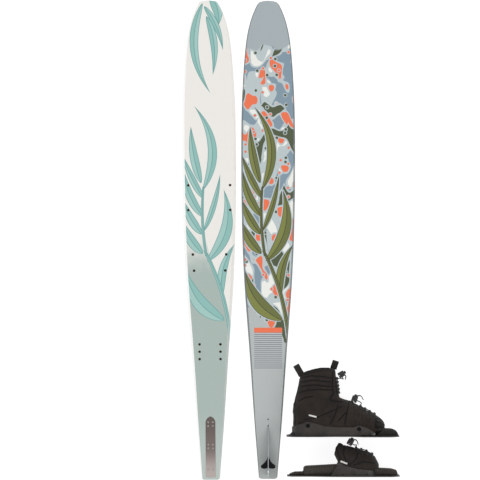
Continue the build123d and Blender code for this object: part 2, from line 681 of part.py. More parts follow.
def cuff_at(z, y):
    """Point on the outside of the cuff's front."""
    for lower, upper in zip(CUFF, CUFF[1:]):
        if z <= upper[0]:
            share = (z - lower[0]) / (upper[0] - lower[0])
            _, back, front, half = [a + share * (b - a) for a, b in zip(lower, upper)]
            break
    middle = (back + front) / 2
    return Vector(middle + (front - back) / 2 * math.sqrt(1 - (y / half) ** 2), y, z)


def eyelet_plane(surface, along, side):
    """Plane on the surface beside the lace slot: z outward, x across the slot away from the middle."""
    y = side * EYELET_Y
    point = surface(along, y)
    across = surface(along, y + 1) - surface(along, y - 1)
    onward = surface(along + 1, y) - surface(along - 1, y)
    normal = across.cross(onward)
    outward = surface(along, y) - Vector(120, 0, 20)
    if normal.dot(outward) < 0:
        normal = normal * -1
    return Plane(origin=point, x_dir=across * side, z_dir=normal)


def eyelet_centre(surface, along, side):
    plane = eyelet_plane(surface, along, side)
    return plane.origin + plane.z_dir * EYELET_RISE


def make_eyelets(surface, rows):
    """Wire rings that stand on small bases beside the lace slot, open across it."""
    eyelets = []
    for along in rows:
        for side in (-1, 1):
            ring = Plane(origin=eyelet_centre(surface, along, side), z_dir=(0, 1, 0)) * Torus(
                EYELET_RING, EYELET_WIRE)
            base = eyelet_plane(surface, along, side) * Pos(0, 0, LIFT) * Box(*EYELET_BASE, align=FROM_BOTTOM)
            eyelets.append(ring + base)
    return group(eyelets)


def lace_points(surface, rows):
    """Route of a lace that crosses the slot at each row and steps on at alternate sides."""
    points = []
    side = 1
    for along in rows:
        for end in (side, -side):
            points.append(eyelet_centre(surface, along, end) + Vector(0, end * EYELET_REACH, 0))
        side = -side
    return points


def tube(points, radii, radius):
    """Round cord of straight runs and tangent arcs."""
    path = FilletPolyline(*points, radius=radii) if len(points) > 2 else Line(*points)
    start = Plane(origin=path @ 0, z_dir=path % 0)
    return sweep(start * Circle(radius), path)


def lock_place(lock):
    x, z, lean = lock
    return Pos(x, 0, z) * Rot(0, lean, 0)


def make_lock(place):
    """Cord lock: a body bored for its button, with a port across it for the lace."""
    length, width, height = LOCK_SIZE
    body = Box(length, width, height, align=FROM_BOTTOM)
    body = fillet(body.edges(), LOCK_ROUND)
    body = body - Pos(0, 0, height - LOCK_BORE_DEEP) * Cylinder(LOCK_BORE, 30, align=FROM_BOTTOM)
    body = body - Pos(0, 0, LOCK_PORT_UP) * Rot(90, 0, 0) * Cylinder(LOCK_PORT, 40)
    button = Pos(0, 0, BUTTON_LOW) * Cylinder(BUTTON_RADIUS, BUTTON_HIGH - BUTTON_LOW, align=FROM_BOTTOM)
    button = fillet(button.edges().sort_by(Axis.Z)[-1], BUTTON_TOP_ROUND)
    return place * body, place * button


def make_pull(pull):
    """Webbing pull loop: two legs along z and an arch of radius half across y, centred at z = reach."""
    x, z, lean, half, reach = pull
    webbing = Pos(0, 0, reach) * Rot(0, 90, 0) * Cylinder(half, PULL_WIDTH)
    webbing += Pos(0, 0, reach) * Box(PULL_WIDTH, 2 * half, reach + PULL_LEGS, align=FROM_TOP)
    inner = half - PULL_THICK
    hole = Pos(0, 0, reach) * Rot(0, 90, 0) * Cylinder(inner, 2 * PULL_WIDTH)
    hole += Pos(0, 0, reach) * Box(2 * PULL_WIDTH, 2 * inner, reach + 3 * PULL_LEGS, align=FROM_TOP)
    return Pos(x, 0, z) * Rot(0, lean, 0) * (webbing - hole)


def loop_points(place, reach):
    """Route of a free loop of lace: out of the lock's port, over in front of the lock, and back in."""
    left = [(0, 5, LOCK_PORT_UP), (0, 15, LOCK_PORT_UP), (1, 18, reach * 0.6), (reach * 0.45, 15, reach),
            (reach * 0.9, 9, reach * 0.6)]
    right = [(x, -y, z) for x, y, z in reversed(left)]
    return [(place * Pos(*point)).position for point in left + right]


def lace_loop(place, reach):
    points = loop_points(place, reach)
    return tube(points, corner_radii(points, LOOP_CORNER), LOOP_RADIUS)


def corner_radii(points, longest):
    """Arc at each corner of a route, as large as its two runs and the longest allowed tangent let it be."""
    radii = []
    for before, corner, after in zip(points, points[1:], points[2:]):
        tangent = min(0.45 * (corner - before).length, 0.45 * (after - corner).length, longest)
        turn = math.radians((corner - before).get_angle(after - corner))
        radii.append(tangent / math.tan(turn / 2))
    return radii


def below_line(points, rise):
    """Block under a line in x and z that is raised by rise and runs on level at both ends."""
    lifted = [(x, z + rise) for x, z in points]
    return side_profile([(-200, lifted[0][1])] + lifted + [(500, lifted[-1][1]), (500, -200), (-200, -200)])


def half_at(rows, x):
    for lower, upper in zip(rows, rows[1:]):
        if x <= upper[0]:
            return lower[1] + (upper[1] - lower[1]) * (x - lower[0]) / (upper[0] - lower[0])
    return rows[-1][1]


def make_tags(rows, tag):
    """Blank woven tags, one on each side."""
    x, z, length, height, lean = tag
    tags = []
    turn = math.degrees(math.atan2(half_at(rows, x + 10) - half_at(rows, x - 10), 20))
    for side in (-1, 1):
        place = Pos(x, side * (half_at(rows, x) + LIFT), z) * Rot(0, 0, side * turn) * Rot(0, lean, 0)
        tags.append(place * Pos(0, side * TAG_THICK / 2, 0) * Box(length, TAG_THICK, height))
    return group(tags)


# ------------------------------------------------------------------ boot
def make_frame():
    """Stiff heel-wrapping side frame with flat bosses for its four bolts, and the bolts."""
    ring = foot_solid(-FIT - FRAME_WALL) - foot_solid(-FIT)
    frame = ring & side_profile(FRAME_TOP + [(FRAME_TOP[-1][0], 0), (FRAME_TOP[0][0], 0)])
    bolts = []
    holes = []
    for x, z in FRAME_BOLTS:
        face = half_at(FOOT, x) + FIT + FRAME_WALL
        for side in (-1, 1):
            outward = Pos(x, side * face, z) * Rot(-side * 90, 0, 0)
            frame += outward * Cylinder(BOSS_RADIUS, 2 * BOSS_RISE)
            holes.append(outward * Cylinder(BOLT_HOLE, 30))
            bolt = screw(BOLT_HEAD, BOLT_HEAD_HEIGHT, BOLT_RADIUS, FRAME_WALL + SHELL_WALL + BOSS_RISE)
            bolts.append(outward * Pos(0, 0, BOSS_RISE + LIFT / 2) * bolt)
    for hole in holes:
        frame = frame - hole
    return frame, group(bolts), holes


def make_boot():
    parts = {}
    plate = binding_plate(BOOT_PLATE, BOOT_HOLES)
    wedge = side_profile(HEEL_WEDGE, 26) - foot_solid(-2 * FIT - FRAME_WALL)
    parts["boot_plate"] = plate + wedge
    frame, bolts, bolt_holes = make_frame()
    parts["boot_frame"] = frame
    parts["boot_frame_bolts"] = bolts
    middle, length, width, corner = BOOT_PAD_PLAN
    pad = side_profile(BOOT_PAD) & extrude(Pos(middle, 0) * RectangleRounded(length, width, corner), TALL)
    parts["boot_toe_pad"] = pad - foot_solid(-2 * FIT - FRAME_WALL)

    lower = ray_region(LOWER_FRONT_RAY, LOWER_BACK_RAY, -RAY_GAP / 2)
    shell = foot_solid(0) - foot_solid(SHELL_WALL) - lower
    shell = shell - (side_profile(FOOT_SLOT, SLOT))
    for hole in bolt_holes:
        shell = shell - hole
    parts["boot_shell"] = shell
    layer = foot_solid(SHELL_WALL + FIT) - foot_solid(SHELL_WALL + FIT + LINER_WALL) - lower
    parts["boot_liner"] = layer - side_profile(FOOT_TONGUE, TONGUE_HALF + FIT)
    parts["boot_tongue"] = layer & side_profile(FOOT_TONGUE, TONGUE_HALF)
    parts["boot_insole"] = foot_solid(SHELL_WALL + LINER_WALL + 2 * FIT) & side_profile(INSOLE_SIDE)
    parts["boot_tags"] = make_tags(FOOT, BOOT_TAG)

    parts["boot_eyelets"] = make_eyelets(foot_surface, FOOT_ROWS)
    place = lock_place(BOOT_LOCK)
    parts["boot_lace"] = lace(foot_surface, FOOT_ROWS, place)
    parts["boot_lock"], parts["boot_lock_button"] = make_lock(place)
    parts["boot_lace_loop"] = lace_loop(place, BOOT_LOOP)
    return parts


def foot_surface(x, y):
    return foot_at(FOOT, x, y)


def hood_surface(x, y):
    return foot_at(HOOD, x, y)


def lace(surface, rows, place):
    """Lace from its first eyelet, across the slot at each row and up to the front of its lock."""
    points = lace_points(surface, rows)
    side = math.copysign(1, points[-1].Y)
    points.append(points[-1] + eyelet_plane(surface, rows[-1], side).z_dir * LACE_LIFT)
    face = LOCK_SIZE[0] / 2
    for x in (face + LACE_APPROACH, face + LIFT / 2):
        points.append((place * Pos(x, 0, LACE_UP)).position)
    return tube(points, corner_radii(points, EYELET_REACH - EYELET_WIRE - 0.4), LACE_RADIUS)


def front_band(half, top):
    """Block in front of the ankle, half to each side, up to the given height."""
    return Pos(130, 0, top) * Box(TALL, 2 * half, 2 * TALL + top, align=(Align.MIN, Align.CENTER, Align.MAX))


def make_cuff():
    parts = {}
    upper = ray_region(UPPER_FRONT_RAY, UPPER_BACK_RAY, RAY_GAP / 2)
    cuff = (cuff_solid(0) - cuff_solid(SHELL_WALL)) & upper & below_line(CUFF_TOP, 0)
    parts["cuff"] = cuff - front_band(SLOT, 2 * TALL)
    layer = (cuff_solid(SHELL_WALL + FIT) - cuff_solid(SHELL_WALL + FIT + LINER_WALL)) & upper
    liner_top = below_line(CUFF_TOP, LINER_ABOVE_CUFF)
    parts["cuff_liner"] = (layer & liner_top) - front_band(TONGUE_HALF + FIT, 2 * TALL)
    parts["cuff_tongue"] = layer & front_band(TONGUE_HALF, TONGUE_TOP)
    parts["cuff_eyelets"] = make_eyelets(cuff_at, CUFF_ROWS)
    place = lock_place(CUFF_LOCK)
    parts["cuff_lace"] = lace(cuff_at, CUFF_ROWS, place)
    parts["cuff_lock"], parts["cuff_lock_button"] = make_lock(place)
    parts["cuff_lace_loop"] = lace_loop(place, CUFF_LOOP)
    parts["heel_pull"] = make_pull(HEEL_PULL) - below_line(CUFF_TOP, LINER_ABOVE_CUFF + LIFT)
    parts["tongue_pull"] = make_pull(TONGUE_PULL) - below_line([(0, TONGUE_TOP)], LIFT)
    return parts


# ------------------------------------------------------------------ rear toe plate
def make_toe_plate():
    parts = {}
    plate = binding_plate(TOE_PLATE, TOE_HOLES)
    middle, length, width, corner = TOE_PAD_PLAN
    pad = side_profile(TOE_PAD) & extrude(Pos(middle, 0) * RectangleRounded(length, width, corner), TALL)
    ledge = side_profile([(-10, 0), (56.5, 0), (56.5, 60), (-10, 60)]) - side_profile(
        [(-20, -10), (60, -10), (60, 70), (-20, 70)], 27)
    parts["toe_pad"] = pad - ledge

    region = side_profile(HOOD_MOUTH + [(340, HOOD_BOTTOM), (340, 200), (184, 200)])
    hood = (hood_solid(0) - hood_solid(HOOD_WALL)) & region
    parts["toe_hood"] = hood - side_profile(HOOD_SLOT, SLOT)
    groove = hood_solid(-FIT) - hood_solid(HOOD_WALL + FIT)
    groove = groove & side_profile([(200, HOOD_BOTTOM - FIT), (340, HOOD_BOTTOM - FIT), (340, 60), (200, 60)])
    parts["toe_pad"] = parts["toe_pad"] - groove
    tongue_layer = hood_solid(HOOD_WALL + FIT) - hood_solid(HOOD_WALL + FIT + 4)
    parts["toe_tongue"] = tongue_layer & side_profile(HOOD_TONGUE, TONGUE_HALF)

    wall = (hood_solid(-FIT - BRACKET_WALL) - hood_solid(-FIT)) & side_profile(BRACKET_SIDE)
    x0, x1 = FLANGE_X
    z0 = BINDING_PLATE_THICK + LIFT
    flange = (hood_solid(-FIT - BRACKET_WALL - FLANGE_WIDE) - hood_solid(-FIT)) & side_profile(
        [(x0, z0), (x1, z0), (x1, z0 + FLANGE_THICK), (x0, z0 + FLANGE_THICK)])
    brackets = wall + flange
    screws = []
    for x in BRACKET_SCREWS:
        for side in (-1, 1):
            y = side * (half_at(HOOD, x) + FIT + BRACKET_WALL + FLANGE_WIDE / 2)
            hole = Pos(x, y, 1.0) * Cylinder(BRACKET_SCREW_RADIUS + 0.15, 20, align=FROM_BOTTOM)
            brackets = brackets - hole
            plate = plate - hole
            seat = Pos(x, y, z0 + FLANGE_THICK + LIFT / 2)
            screws.append(seat * screw(3.2, 1.5, BRACKET_SCREW_RADIUS, FLANGE_THICK + 2.5))
    parts["toe_plate"] = plate
    parts["toe_brackets"] = brackets
    parts["toe_screws"] = group(screws)
    parts["toe_tags"] = make_tags(HOOD, TOE_TAG)

    parts["toe_eyelets"] = make_eyelets(hood_surface, HOOD_ROWS)
    place = lock_place(TOE_LOCK)
    parts["toe_lace"] = lace(hood_surface, HOOD_ROWS, place)
    parts["toe_lock"], parts["toe_lock_button"] = make_lock(place)
    parts["toe_lace_loop"] = lace_loop(place, TOE_LOOP)
    return parts


# ------------------------------------------------------------------ layout
def resting_pitch(points, balance):
    """Slope in radians of the line that points (y, z) rest on when they balance at y = balance."""
    hull = []
    for y, z in sorted(points):
        while len(hull) > 1:
            (y0, z0), (y1, z1) = hull[-2:]
            if (y1 - y0) * (z - z0) > (z1 - z0) * (y - y0):
                break
            hull.pop()
        hull.append((y, z))
    for (y0, z0), (y1, z1) in zip(hull, hull[1:]):
        if y0 <= balance <= y1:
            return math.atan2(z1 - z0, y1 - y0)
    return 0.0


def ski_place(parts, resting_names, start, at):
    """Where a ski lies once it has settled on the floor, from how it is first turned and its place."""
    x, y, turn = at
    points = []
    for name in resting_names:
        vertices, _ = (start * parts[name]).tessellate(TESSELLATION)
        points += [(v.Y, v.Z) for v in vertices]
    pitch = resting_pitch(points, parts["core"].center().Y)
    lowest = min(z * math.cos(pitch) - y * math.sin(pitch) for y, z in points)
    return Pos(x, y, -lowest) * Rot(0, 0, turn) * Rot(-math.degrees(pitch), 0, 0) * start


def binding_place(at, half_width):
    """A binding on its side, toe towards +X, standing on its plate's edge."""
    return Pos(*at, half_width) * Rot(-90, 0, 0)


def layout():
    """Every placed sub-part by name, and where each item's own frame came to lie."""
    ski = make_ski()
    boot = make_boot() | make_cuff()
    toe_plate = make_toe_plate()
    places = {
        "deck_up": ski_place(ski, ("base_shell", "fin"), Pos(0, 0, 0), DECK_UP_AT),
        "base_up": ski_place(ski, ("top_shell", "fin_screws", "fin_plate"), Rot(0, 180, 0), BASE_UP_AT),
        "boot": binding_place(BOOT_AT, max(half for _, half in BOOT_PLATE)),
        "toe_plate": binding_place(TOE_PLATE_AT, max(half for _, half in TOE_PLATE)),
    }
    placed = {}
    for side in ("deck_up", "base_up"):
        for name, shape in ski.items():
            placed[f"{side}_{name}"] = (side, shape)
    for item, parts in (("boot", boot), ("toe_plate", toe_plate)):
        for name, shape in parts.items():
            placed[name] = (item, shape)
    boxes = [(places[item] * shape).bounding_box() for item, shape in placed.values()]
    middle_x = (min(b.min.X for b in boxes) + max(b.max.X for b in boxes)) / 2
    middle_y = (min(b.min.Y for b in boxes) + max(b.max.Y for b in boxes)) / 2
    places = {item: Pos(-middle_x, -middle_y, 0) * place for item, place in places.items()}
    return {name: places[item] * shape for name, (item, shape) in placed.items()}, places


def print_loops():
    """The free loops' lengths and the radii of their corners."""
    for name, lock, reach in (("boot", BOOT_LOCK, BOOT_LOOP), ("cuff", CUFF_LOCK, CUFF_LOOP),
                              ("toe plate", TOE_LOCK, TOE_LOOP)):
        place = lock_place(lock)
        radii = corner_radii(loop_points(place, reach), LOOP_CORNER)
        length = lace_loop(place, reach).volume / (math.pi * LOOP_RADIUS**2)
        print(f"{name} lace loop: length {length:.0f}, corner radii", ", ".join(f"{r:.1f}" for r in radii))


def main():
    os.makedirs("parts", exist_ok=True)
    placed, places = layout()
    for name, shape in placed.items():
        export_step(Compound(shape.solids()), f"parts/{name}.step")
    for item, place in places.items():
        print(item, place)
    print_loops()


if __name__ == "__main__":
    main()
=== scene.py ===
"""Looks of a pair of slalom water skis with a boot and a rear toe plate, laid out flat."""
import math

import bmesh
import bpy
from mathutils import Matrix, Vector, noise


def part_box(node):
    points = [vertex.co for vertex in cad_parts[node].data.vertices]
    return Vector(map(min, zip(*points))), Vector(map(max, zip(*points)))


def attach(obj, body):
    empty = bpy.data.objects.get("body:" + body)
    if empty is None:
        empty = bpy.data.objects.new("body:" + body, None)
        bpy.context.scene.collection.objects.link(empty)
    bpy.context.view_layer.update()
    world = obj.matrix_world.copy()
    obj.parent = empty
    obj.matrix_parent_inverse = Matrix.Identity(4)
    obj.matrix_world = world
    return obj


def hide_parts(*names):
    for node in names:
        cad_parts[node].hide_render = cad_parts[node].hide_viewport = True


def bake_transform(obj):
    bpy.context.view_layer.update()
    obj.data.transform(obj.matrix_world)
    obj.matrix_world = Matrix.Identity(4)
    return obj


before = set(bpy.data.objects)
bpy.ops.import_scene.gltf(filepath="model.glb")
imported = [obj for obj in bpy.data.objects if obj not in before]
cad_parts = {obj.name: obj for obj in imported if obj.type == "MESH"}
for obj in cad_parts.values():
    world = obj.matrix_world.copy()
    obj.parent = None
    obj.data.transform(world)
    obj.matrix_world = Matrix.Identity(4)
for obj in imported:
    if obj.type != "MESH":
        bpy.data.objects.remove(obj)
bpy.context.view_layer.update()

MM = 0.001


def srgb(red, green, blue):
    """Linear colour, with alpha, of an 8-bit sRGB colour."""
    linear = []
    for value in (red, green, blue):
        share = value / 255
        linear.append(share / 12.92 if share <= 0.04045 else ((share + 0.055) / 1.055) ** 2.4)
    return (*linear, 1.0)


# -------------------- node building
class Nodes:
    """Adds nodes to one tree. add() returns the node, split() its outputs, the other makers one output."""

    def __init__(self, tree):
        self.tree = tree

    def give(self, socket, value):
        if isinstance(value, bpy.types.NodeSocket):
            self.tree.links.new(value, socket)
        elif value is not None:
            socket.default_value = value

    def add(self, kind, *values, **settings):
        node = self.tree.nodes.new("ShaderNode" + kind)
        for name, value in settings.items():
            setattr(node, name, value)
        for socket, value in zip(node.inputs, values):
            self.give(socket, value)
        return node

    def math(self, operation, a, b=None, c=None):
        return self.add("Math", a, b, c, operation=operation).outputs[0]

    def vector(self, operation, a, b=None):
        node = self.add("VectorMath", a, b, operation=operation)
        return node.outputs["Value" if operation in ("DOT_PRODUCT", "LENGTH") else "Vector"]

    def step(self, value, low, high):
        """0 where value is at or before low, 1 at or past high, smooth between."""
        if low < high:
            return self.add("MapRange", value, low, high, interpolation_type="SMOOTHSTEP").outputs[0]
        return self.add("MapRange", value, high, low, 1.0, 0.0, interpolation_type="SMOOTHSTEP").outputs[0]

    def mix(self, share, a, b):
        node = self.add("Mix", data_type="RGBA")
        for index, value in ((0, share), (6, a), (7, b)):
            self.give(node.inputs[index], value)
        return node.outputs[2]

    def split(self, vector):
        return self.add("SeparateXYZ", vector).outputs

    def noise(self, vector, scale, detail=3.0, distortion=0.0):
        node = self.add("TexNoise", vector)
        for name, value in (("Scale", scale), ("Detail", detail), ("Distortion", distortion)):
            node.inputs[name].default_value = value
        return node.outputs[0]

    def place(self, location=(0, 0, 0), turn=0.0, scale=(1000, 1000, 1000)):
        """The piece's own coordinates scaled, by default to millimetres, turned about z, then shifted."""
        coordinates = self.add("TexCoord").outputs["Object"]
        node = self.add("Mapping", coordinates)
        node.inputs["Location"].default_value = location
        node.inputs["Rotation"].default_value = (0, 0, turn)
        node.inputs["Scale"].default_value = scale
        return node.outputs[0]


def material(name, roughness=0.5, metallic=0.0, **uniform):
    """New material, its node builder and its surface shader."""
    made = bpy.data.materials.new(name)
    made.use_nodes = True
    nodes = Nodes(made.node_tree)
    shader = made.node_tree.nodes["Principled BSDF"]
    shader.inputs["Roughness"].default_value = roughness
    shader.inputs["Metallic"].default_value = metallic
    for key, value in uniform.items():
        shader.inputs[key.replace("_", " ")].default_value = value
    return made, nodes, shader


def bump(nodes, shader, height, distance, strength=1.0):
    node = nodes.add("Bump")
    node.inputs["Strength"].default_value = strength
    node.inputs["Distance"].default_value = distance
    nodes.give(node.inputs["Height"], height)
    nodes.give(shader.inputs["Normal"], node.outputs[0])


def vary_roughness(nodes, shader, value, least, span):
    """Roughness from least, where value is 0, up to least + span, where it is 1."""
    nodes.give(shader.inputs["Roughness"], nodes.math("ADD", least, nodes.math("MULTIPLY", value, span)))


def group_tree(name, inputs, outputs):
    """Empty node group with the named sockets, its builder, and its inner ends."""
    tree = bpy.data.node_groups.new(name, "ShaderNodeTree")
    for way, sockets in (("INPUT", inputs), ("OUTPUT", outputs)):
        for label, kind in sockets:
            tree.interface.new_socket(label, in_out=way, socket_type="NodeSocket" + kind)
    nodes = Nodes(tree)
    entry = tree.nodes.new("NodeGroupInput").outputs
    leave = tree.nodes.new("NodeGroupOutput").inputs
    return tree, nodes, entry, leave


def use_group(nodes, tree, *values):
    node = nodes.tree.nodes.new("ShaderNodeGroup")
    node.node_tree = tree
    for socket, value in zip(node.inputs, values):
        nodes.give(socket, value)
    return node.outputs[0]


# -------------------- ski artwork, in mm from the tail's end
DECK_WHITE = srgb(240, 237, 232)
DECK_SAGE = srgb(169, 184, 178)
# painted light: pure white for the deck's bevels that face the key light
PAINTED_LIT_BEVEL_WHITE = srgb(255, 255, 254)
TEAL_LIGHT = srgb(162, 201, 195)
TEAL_DARK = srgb(142, 190, 184)
TEAL_LINE = srgb(104, 160, 158)
OLIVE_LIGHT = srgb(124, 130, 58)
OLIVE_DARK = srgb(104, 110, 50)
OLIVE_LINE = srgb(60, 63, 34)
BLOB_GROUND = srgb(188, 200, 203)
BLOB_WHITE = srgb(240, 240, 234)
BLOB_BLUE = srgb(128, 150, 166)
BLOB_ORANGE = srgb(240, 114, 72)
BLOB_GREEN = srgb(72, 82, 52)
NOSE_GREY = srgb(166, 176, 180)
TAIL_GREY = srgb(182, 188, 187)
EDGE_GREY = srgb(112, 118, 120)
LABEL_PALE, LABEL_STRIPE = srgb(196, 200, 202), srgb(96, 100, 106)

# (base, tip, sideways bend, half width) of each leaf
TIP_LEAVES = [
    ((-20, 1642), (6, 1332), 42, 15),
    ((-14, 1632), (50, 1480), -12, 11),
    ((-6, 1598), (14, 1394), -16, 13),
    ((10, 1668), (36, 1568), -10, 19),
]
PLANT_LEAVES = [
    ((-20, 1000), (-50, 1288), 46, 16),
    ((-28, 1022), (-62, 1218), -8, 15),
    ((-20, 968), (-92, 1122), -6, 12),
    ((-22, 905), (-88, 1068), -14, 15),
    ((-26, 845), (-90, 965), -8, 15),
    ((-24, 778), (-92, 892), -10, 17),
    ((-18, 858), (38, 1052), 8, 10),
    ((-6, 752), (50, 1000), 38, 21),
    ((42, 636), (88, 812), -18, 15),
    ((48, 548), (-80, 722), -30, 26),
]
STEMS = [((70, 486), (-17, 790), 16, 6.5), ((-11, 770), (-20, 1010), -8, 5.0)]
STEM_TAPER, LEAF_TAPER = 0.12, 1.0


def leaf_group(name, light, dark, line, halo, halo_width):
    """Node group that paints one curved leaf, with its vein and outline, over a colour."""
    tree, n, entry, leave = group_tree(
        name,
        [("Position", "Vector"), ("Under", "Color"), ("Base", "Vector"), ("Tip", "Vector"),
         ("Bend", "Float"), ("Half", "Float"), ("Taper", "Float")],
        [("Colour", "Color")],
    )
    chord = n.vector("SUBTRACT", entry["Tip"], entry["Base"])
    length = n.vector("LENGTH", chord)
    onward = n.vector("NORMALIZE", chord)
    across = n.vector("CROSS_PRODUCT", onward, (0, 0, 1))
    offset = n.vector("SUBTRACT", entry["Position"], entry["Base"])
    travelled = n.vector("DOT_PRODUCT", offset, onward)
    along = n.add("Clamp", n.math("DIVIDE", travelled, length)).outputs[0]
    rest = n.math("SUBTRACT", 1.0, along)
    bow = n.math("MULTIPLY", n.math("MULTIPLY", n.math("MULTIPLY", along, rest), 4.0), entry["Bend"])
    beside = n.math("SUBTRACT", n.vector("DOT_PRODUCT", offset, across), bow)
    swell = n.math("MULTIPLY", n.math("MULTIPLY", n.math("POWER", along, 0.6), rest), 2.88)
    swell = n.math("POWER", swell, entry["Taper"])
    inside = n.math("SUBTRACT", n.math("MULTIPLY", entry["Half"], swell), n.math("ABSOLUTE", beside))
    ends = n.math("MULTIPLY", n.step(travelled, -0.5, 0.5),
                  n.step(n.math("SUBTRACT", travelled, length), 0.5, -0.5))
    side_veins = n.math("SUBTRACT", travelled, n.math("MULTIPLY", n.math("ABSOLUTE", beside), 2.2))
    side_veins = n.step(n.math("PINGPONG", side_veins, 7.0), 1.0, 0.2)
    halves = n.mix(n.step(beside, -0.6, 0.6), light, dark)
    halves = n.mix(n.math("MULTIPLY", side_veins, 0.22), halves, line)
    vein = n.step(n.math("ABSOLUTE", beside), 1.7, 0.8)
    outline = n.step(inside, 2.8, 1.6)
    drawn = n.mix(n.math("MAXIMUM", vein, outline), halves, line)
    ring = n.math("MULTIPLY", n.step(n.math("ADD", inside, halo_width), -0.5, 0.5), ends)
    below = n.mix(ring, entry["Under"], halo)
    n.give(leave[0], n.mix(n.math("MULTIPLY", n.step(inside, 0.0, 0.8), ends), below, drawn))
    return tree


def paint_leaves(nodes, tree, position, colour, leaves, taper):
    for base, tip, bend, half in leaves:
        colour = use_group(nodes, tree, position, colour, (*base, 0), (*tip, 0), bend, half, taper)
    return colour


def deck_art():
    """Pale deck that turns sage towards the tail, with teal leaves."""
    leaf = leaf_group("deck_leaf", TEAL_LIGHT, TEAL_DARK, TEAL_LINE, TEAL_LINE, 0.0)
    tree, n, entry, leave = group_tree("deck_art", [("Position", "Vector")], [("Colour", "Color")])
    position = entry["Position"]
    x, along, _ = n.split(position)
    (stem_x, stem_s), (top_x, top_s) = STEMS[0][:2]
    # the sage field reaches further forward left of the stem
    side = n.math("SUBTRACT", n.math("MULTIPLY", n.math("SUBTRACT", stem_x + 14, x), top_s - stem_s),
                  n.math("MULTIPLY", n.math("SUBTRACT", along, stem_s), stem_x - top_x))
    left = n.step(side, -300.0, 300.0)
    cloud = n.math("MULTIPLY", n.noise(position, 0.03, 2), 70.0)
    low = n.step(n.math("ADD", along, cloud), 900.0, 740.0)
    sage = n.math("MAXIMUM", n.math("MULTIPLY", left, low), n.step(along, 520.0, 500.0))
    colour = n.mix(sage, DECK_WHITE, DECK_SAGE)
    colour = n.mix(n.math("MULTIPLY", n.step(along, 260.0, 60.0), 0.5), colour, srgb(196, 204, 200))
    colour = paint_leaves(n, leaf, position, colour, TIP_LEAVES + PLANT_LEAVES, LEAF_TAPER)
    colour = paint_leaves(n, leaf, position, colour, STEMS, STEM_TAPER)
    # plain orange ring near the nose and a pale spot near the tail
    ring = n.vector("LENGTH", n.vector("SUBTRACT", position, (40.0, 1316.0, 0.0)))
    ring = n.step(n.math("ABSOLUTE", n.math("SUBTRACT", ring, 5.0)), 3.6, 3.0)
    colour = n.mix(ring, colour, srgb(244, 160, 118))
    spot = n.vector("LENGTH", n.vector("SUBTRACT", position, (2.0, 290.0, 0.0)))
    colour = n.mix(n.step(spot, 11.0, 7.0), colour, srgb(222, 216, 196))
    n.give(leave[0], colour)
    return tree


def patch(n, height, scale, colour, under):
    """Paints colour where a noise height is above 0, in a ring of the ground colour about 2.5 mm wide."""
    ring = 2.5 * scale
    under = n.mix(n.step(height, -ring, -0.8 * ring), under, BLOB_GROUND)
    return n.mix(n.step(height, 0.0, 0.25 * ring), under, colour)


def smooth_noise(n, position, scale, seed):
    """Noise without small detail, drawn out along the ski."""
    moved = n.vector("ADD", n.vector("MULTIPLY", position, (1.0, 0.6, 1.0)), (seed, 3.1 * seed, 0))
    return n.noise(moved, scale, 0.0)


def islands(n, position, scale, seed, low, colour, under):
    """Rounded islands of one colour."""
    height = n.math("SUBTRACT", smooth_noise(n, position, scale, seed), low)
    return patch(n, height, scale, colour, under)


def ribbons(n, position, scale, seed, width, share, colour, under):
    """Winding ribbons of one colour that swell and end, drawn along the middle line of a noise."""
    off = n.math("ABSOLUTE", n.math("SUBTRACT", smooth_noise(n, position, scale, seed), 0.5))
    swell = n.math("SUBTRACT", smooth_noise(n, position, scale, seed + 77), share)
    swell = n.math("MINIMUM", n.math("MULTIPLY", swell, 0.6), width)
    return patch(n, n.math("SUBTRACT", swell, off), scale, colour, under)


def dots(n, position, scale, seed, radius, colour, under):
    """Scattered round dots of one colour."""
    cell = n.add("TexVoronoi", n.vector("ADD", position, (seed, seed, 0)), voronoi_dimensions="2D")
    cell.inputs["Scale"].default_value = scale
    cell.inputs["Randomness"].default_value = 0.8
    chosen = n.step(n.split(cell.outputs["Color"])[0], 0.70, 0.72)
    reach = n.math("MULTIPLY_ADD", chosen, radius * scale + 1, -1.0)
    return patch(n, n.math("SUBTRACT", reach, cell.outputs["Distance"]), scale, colour, under)


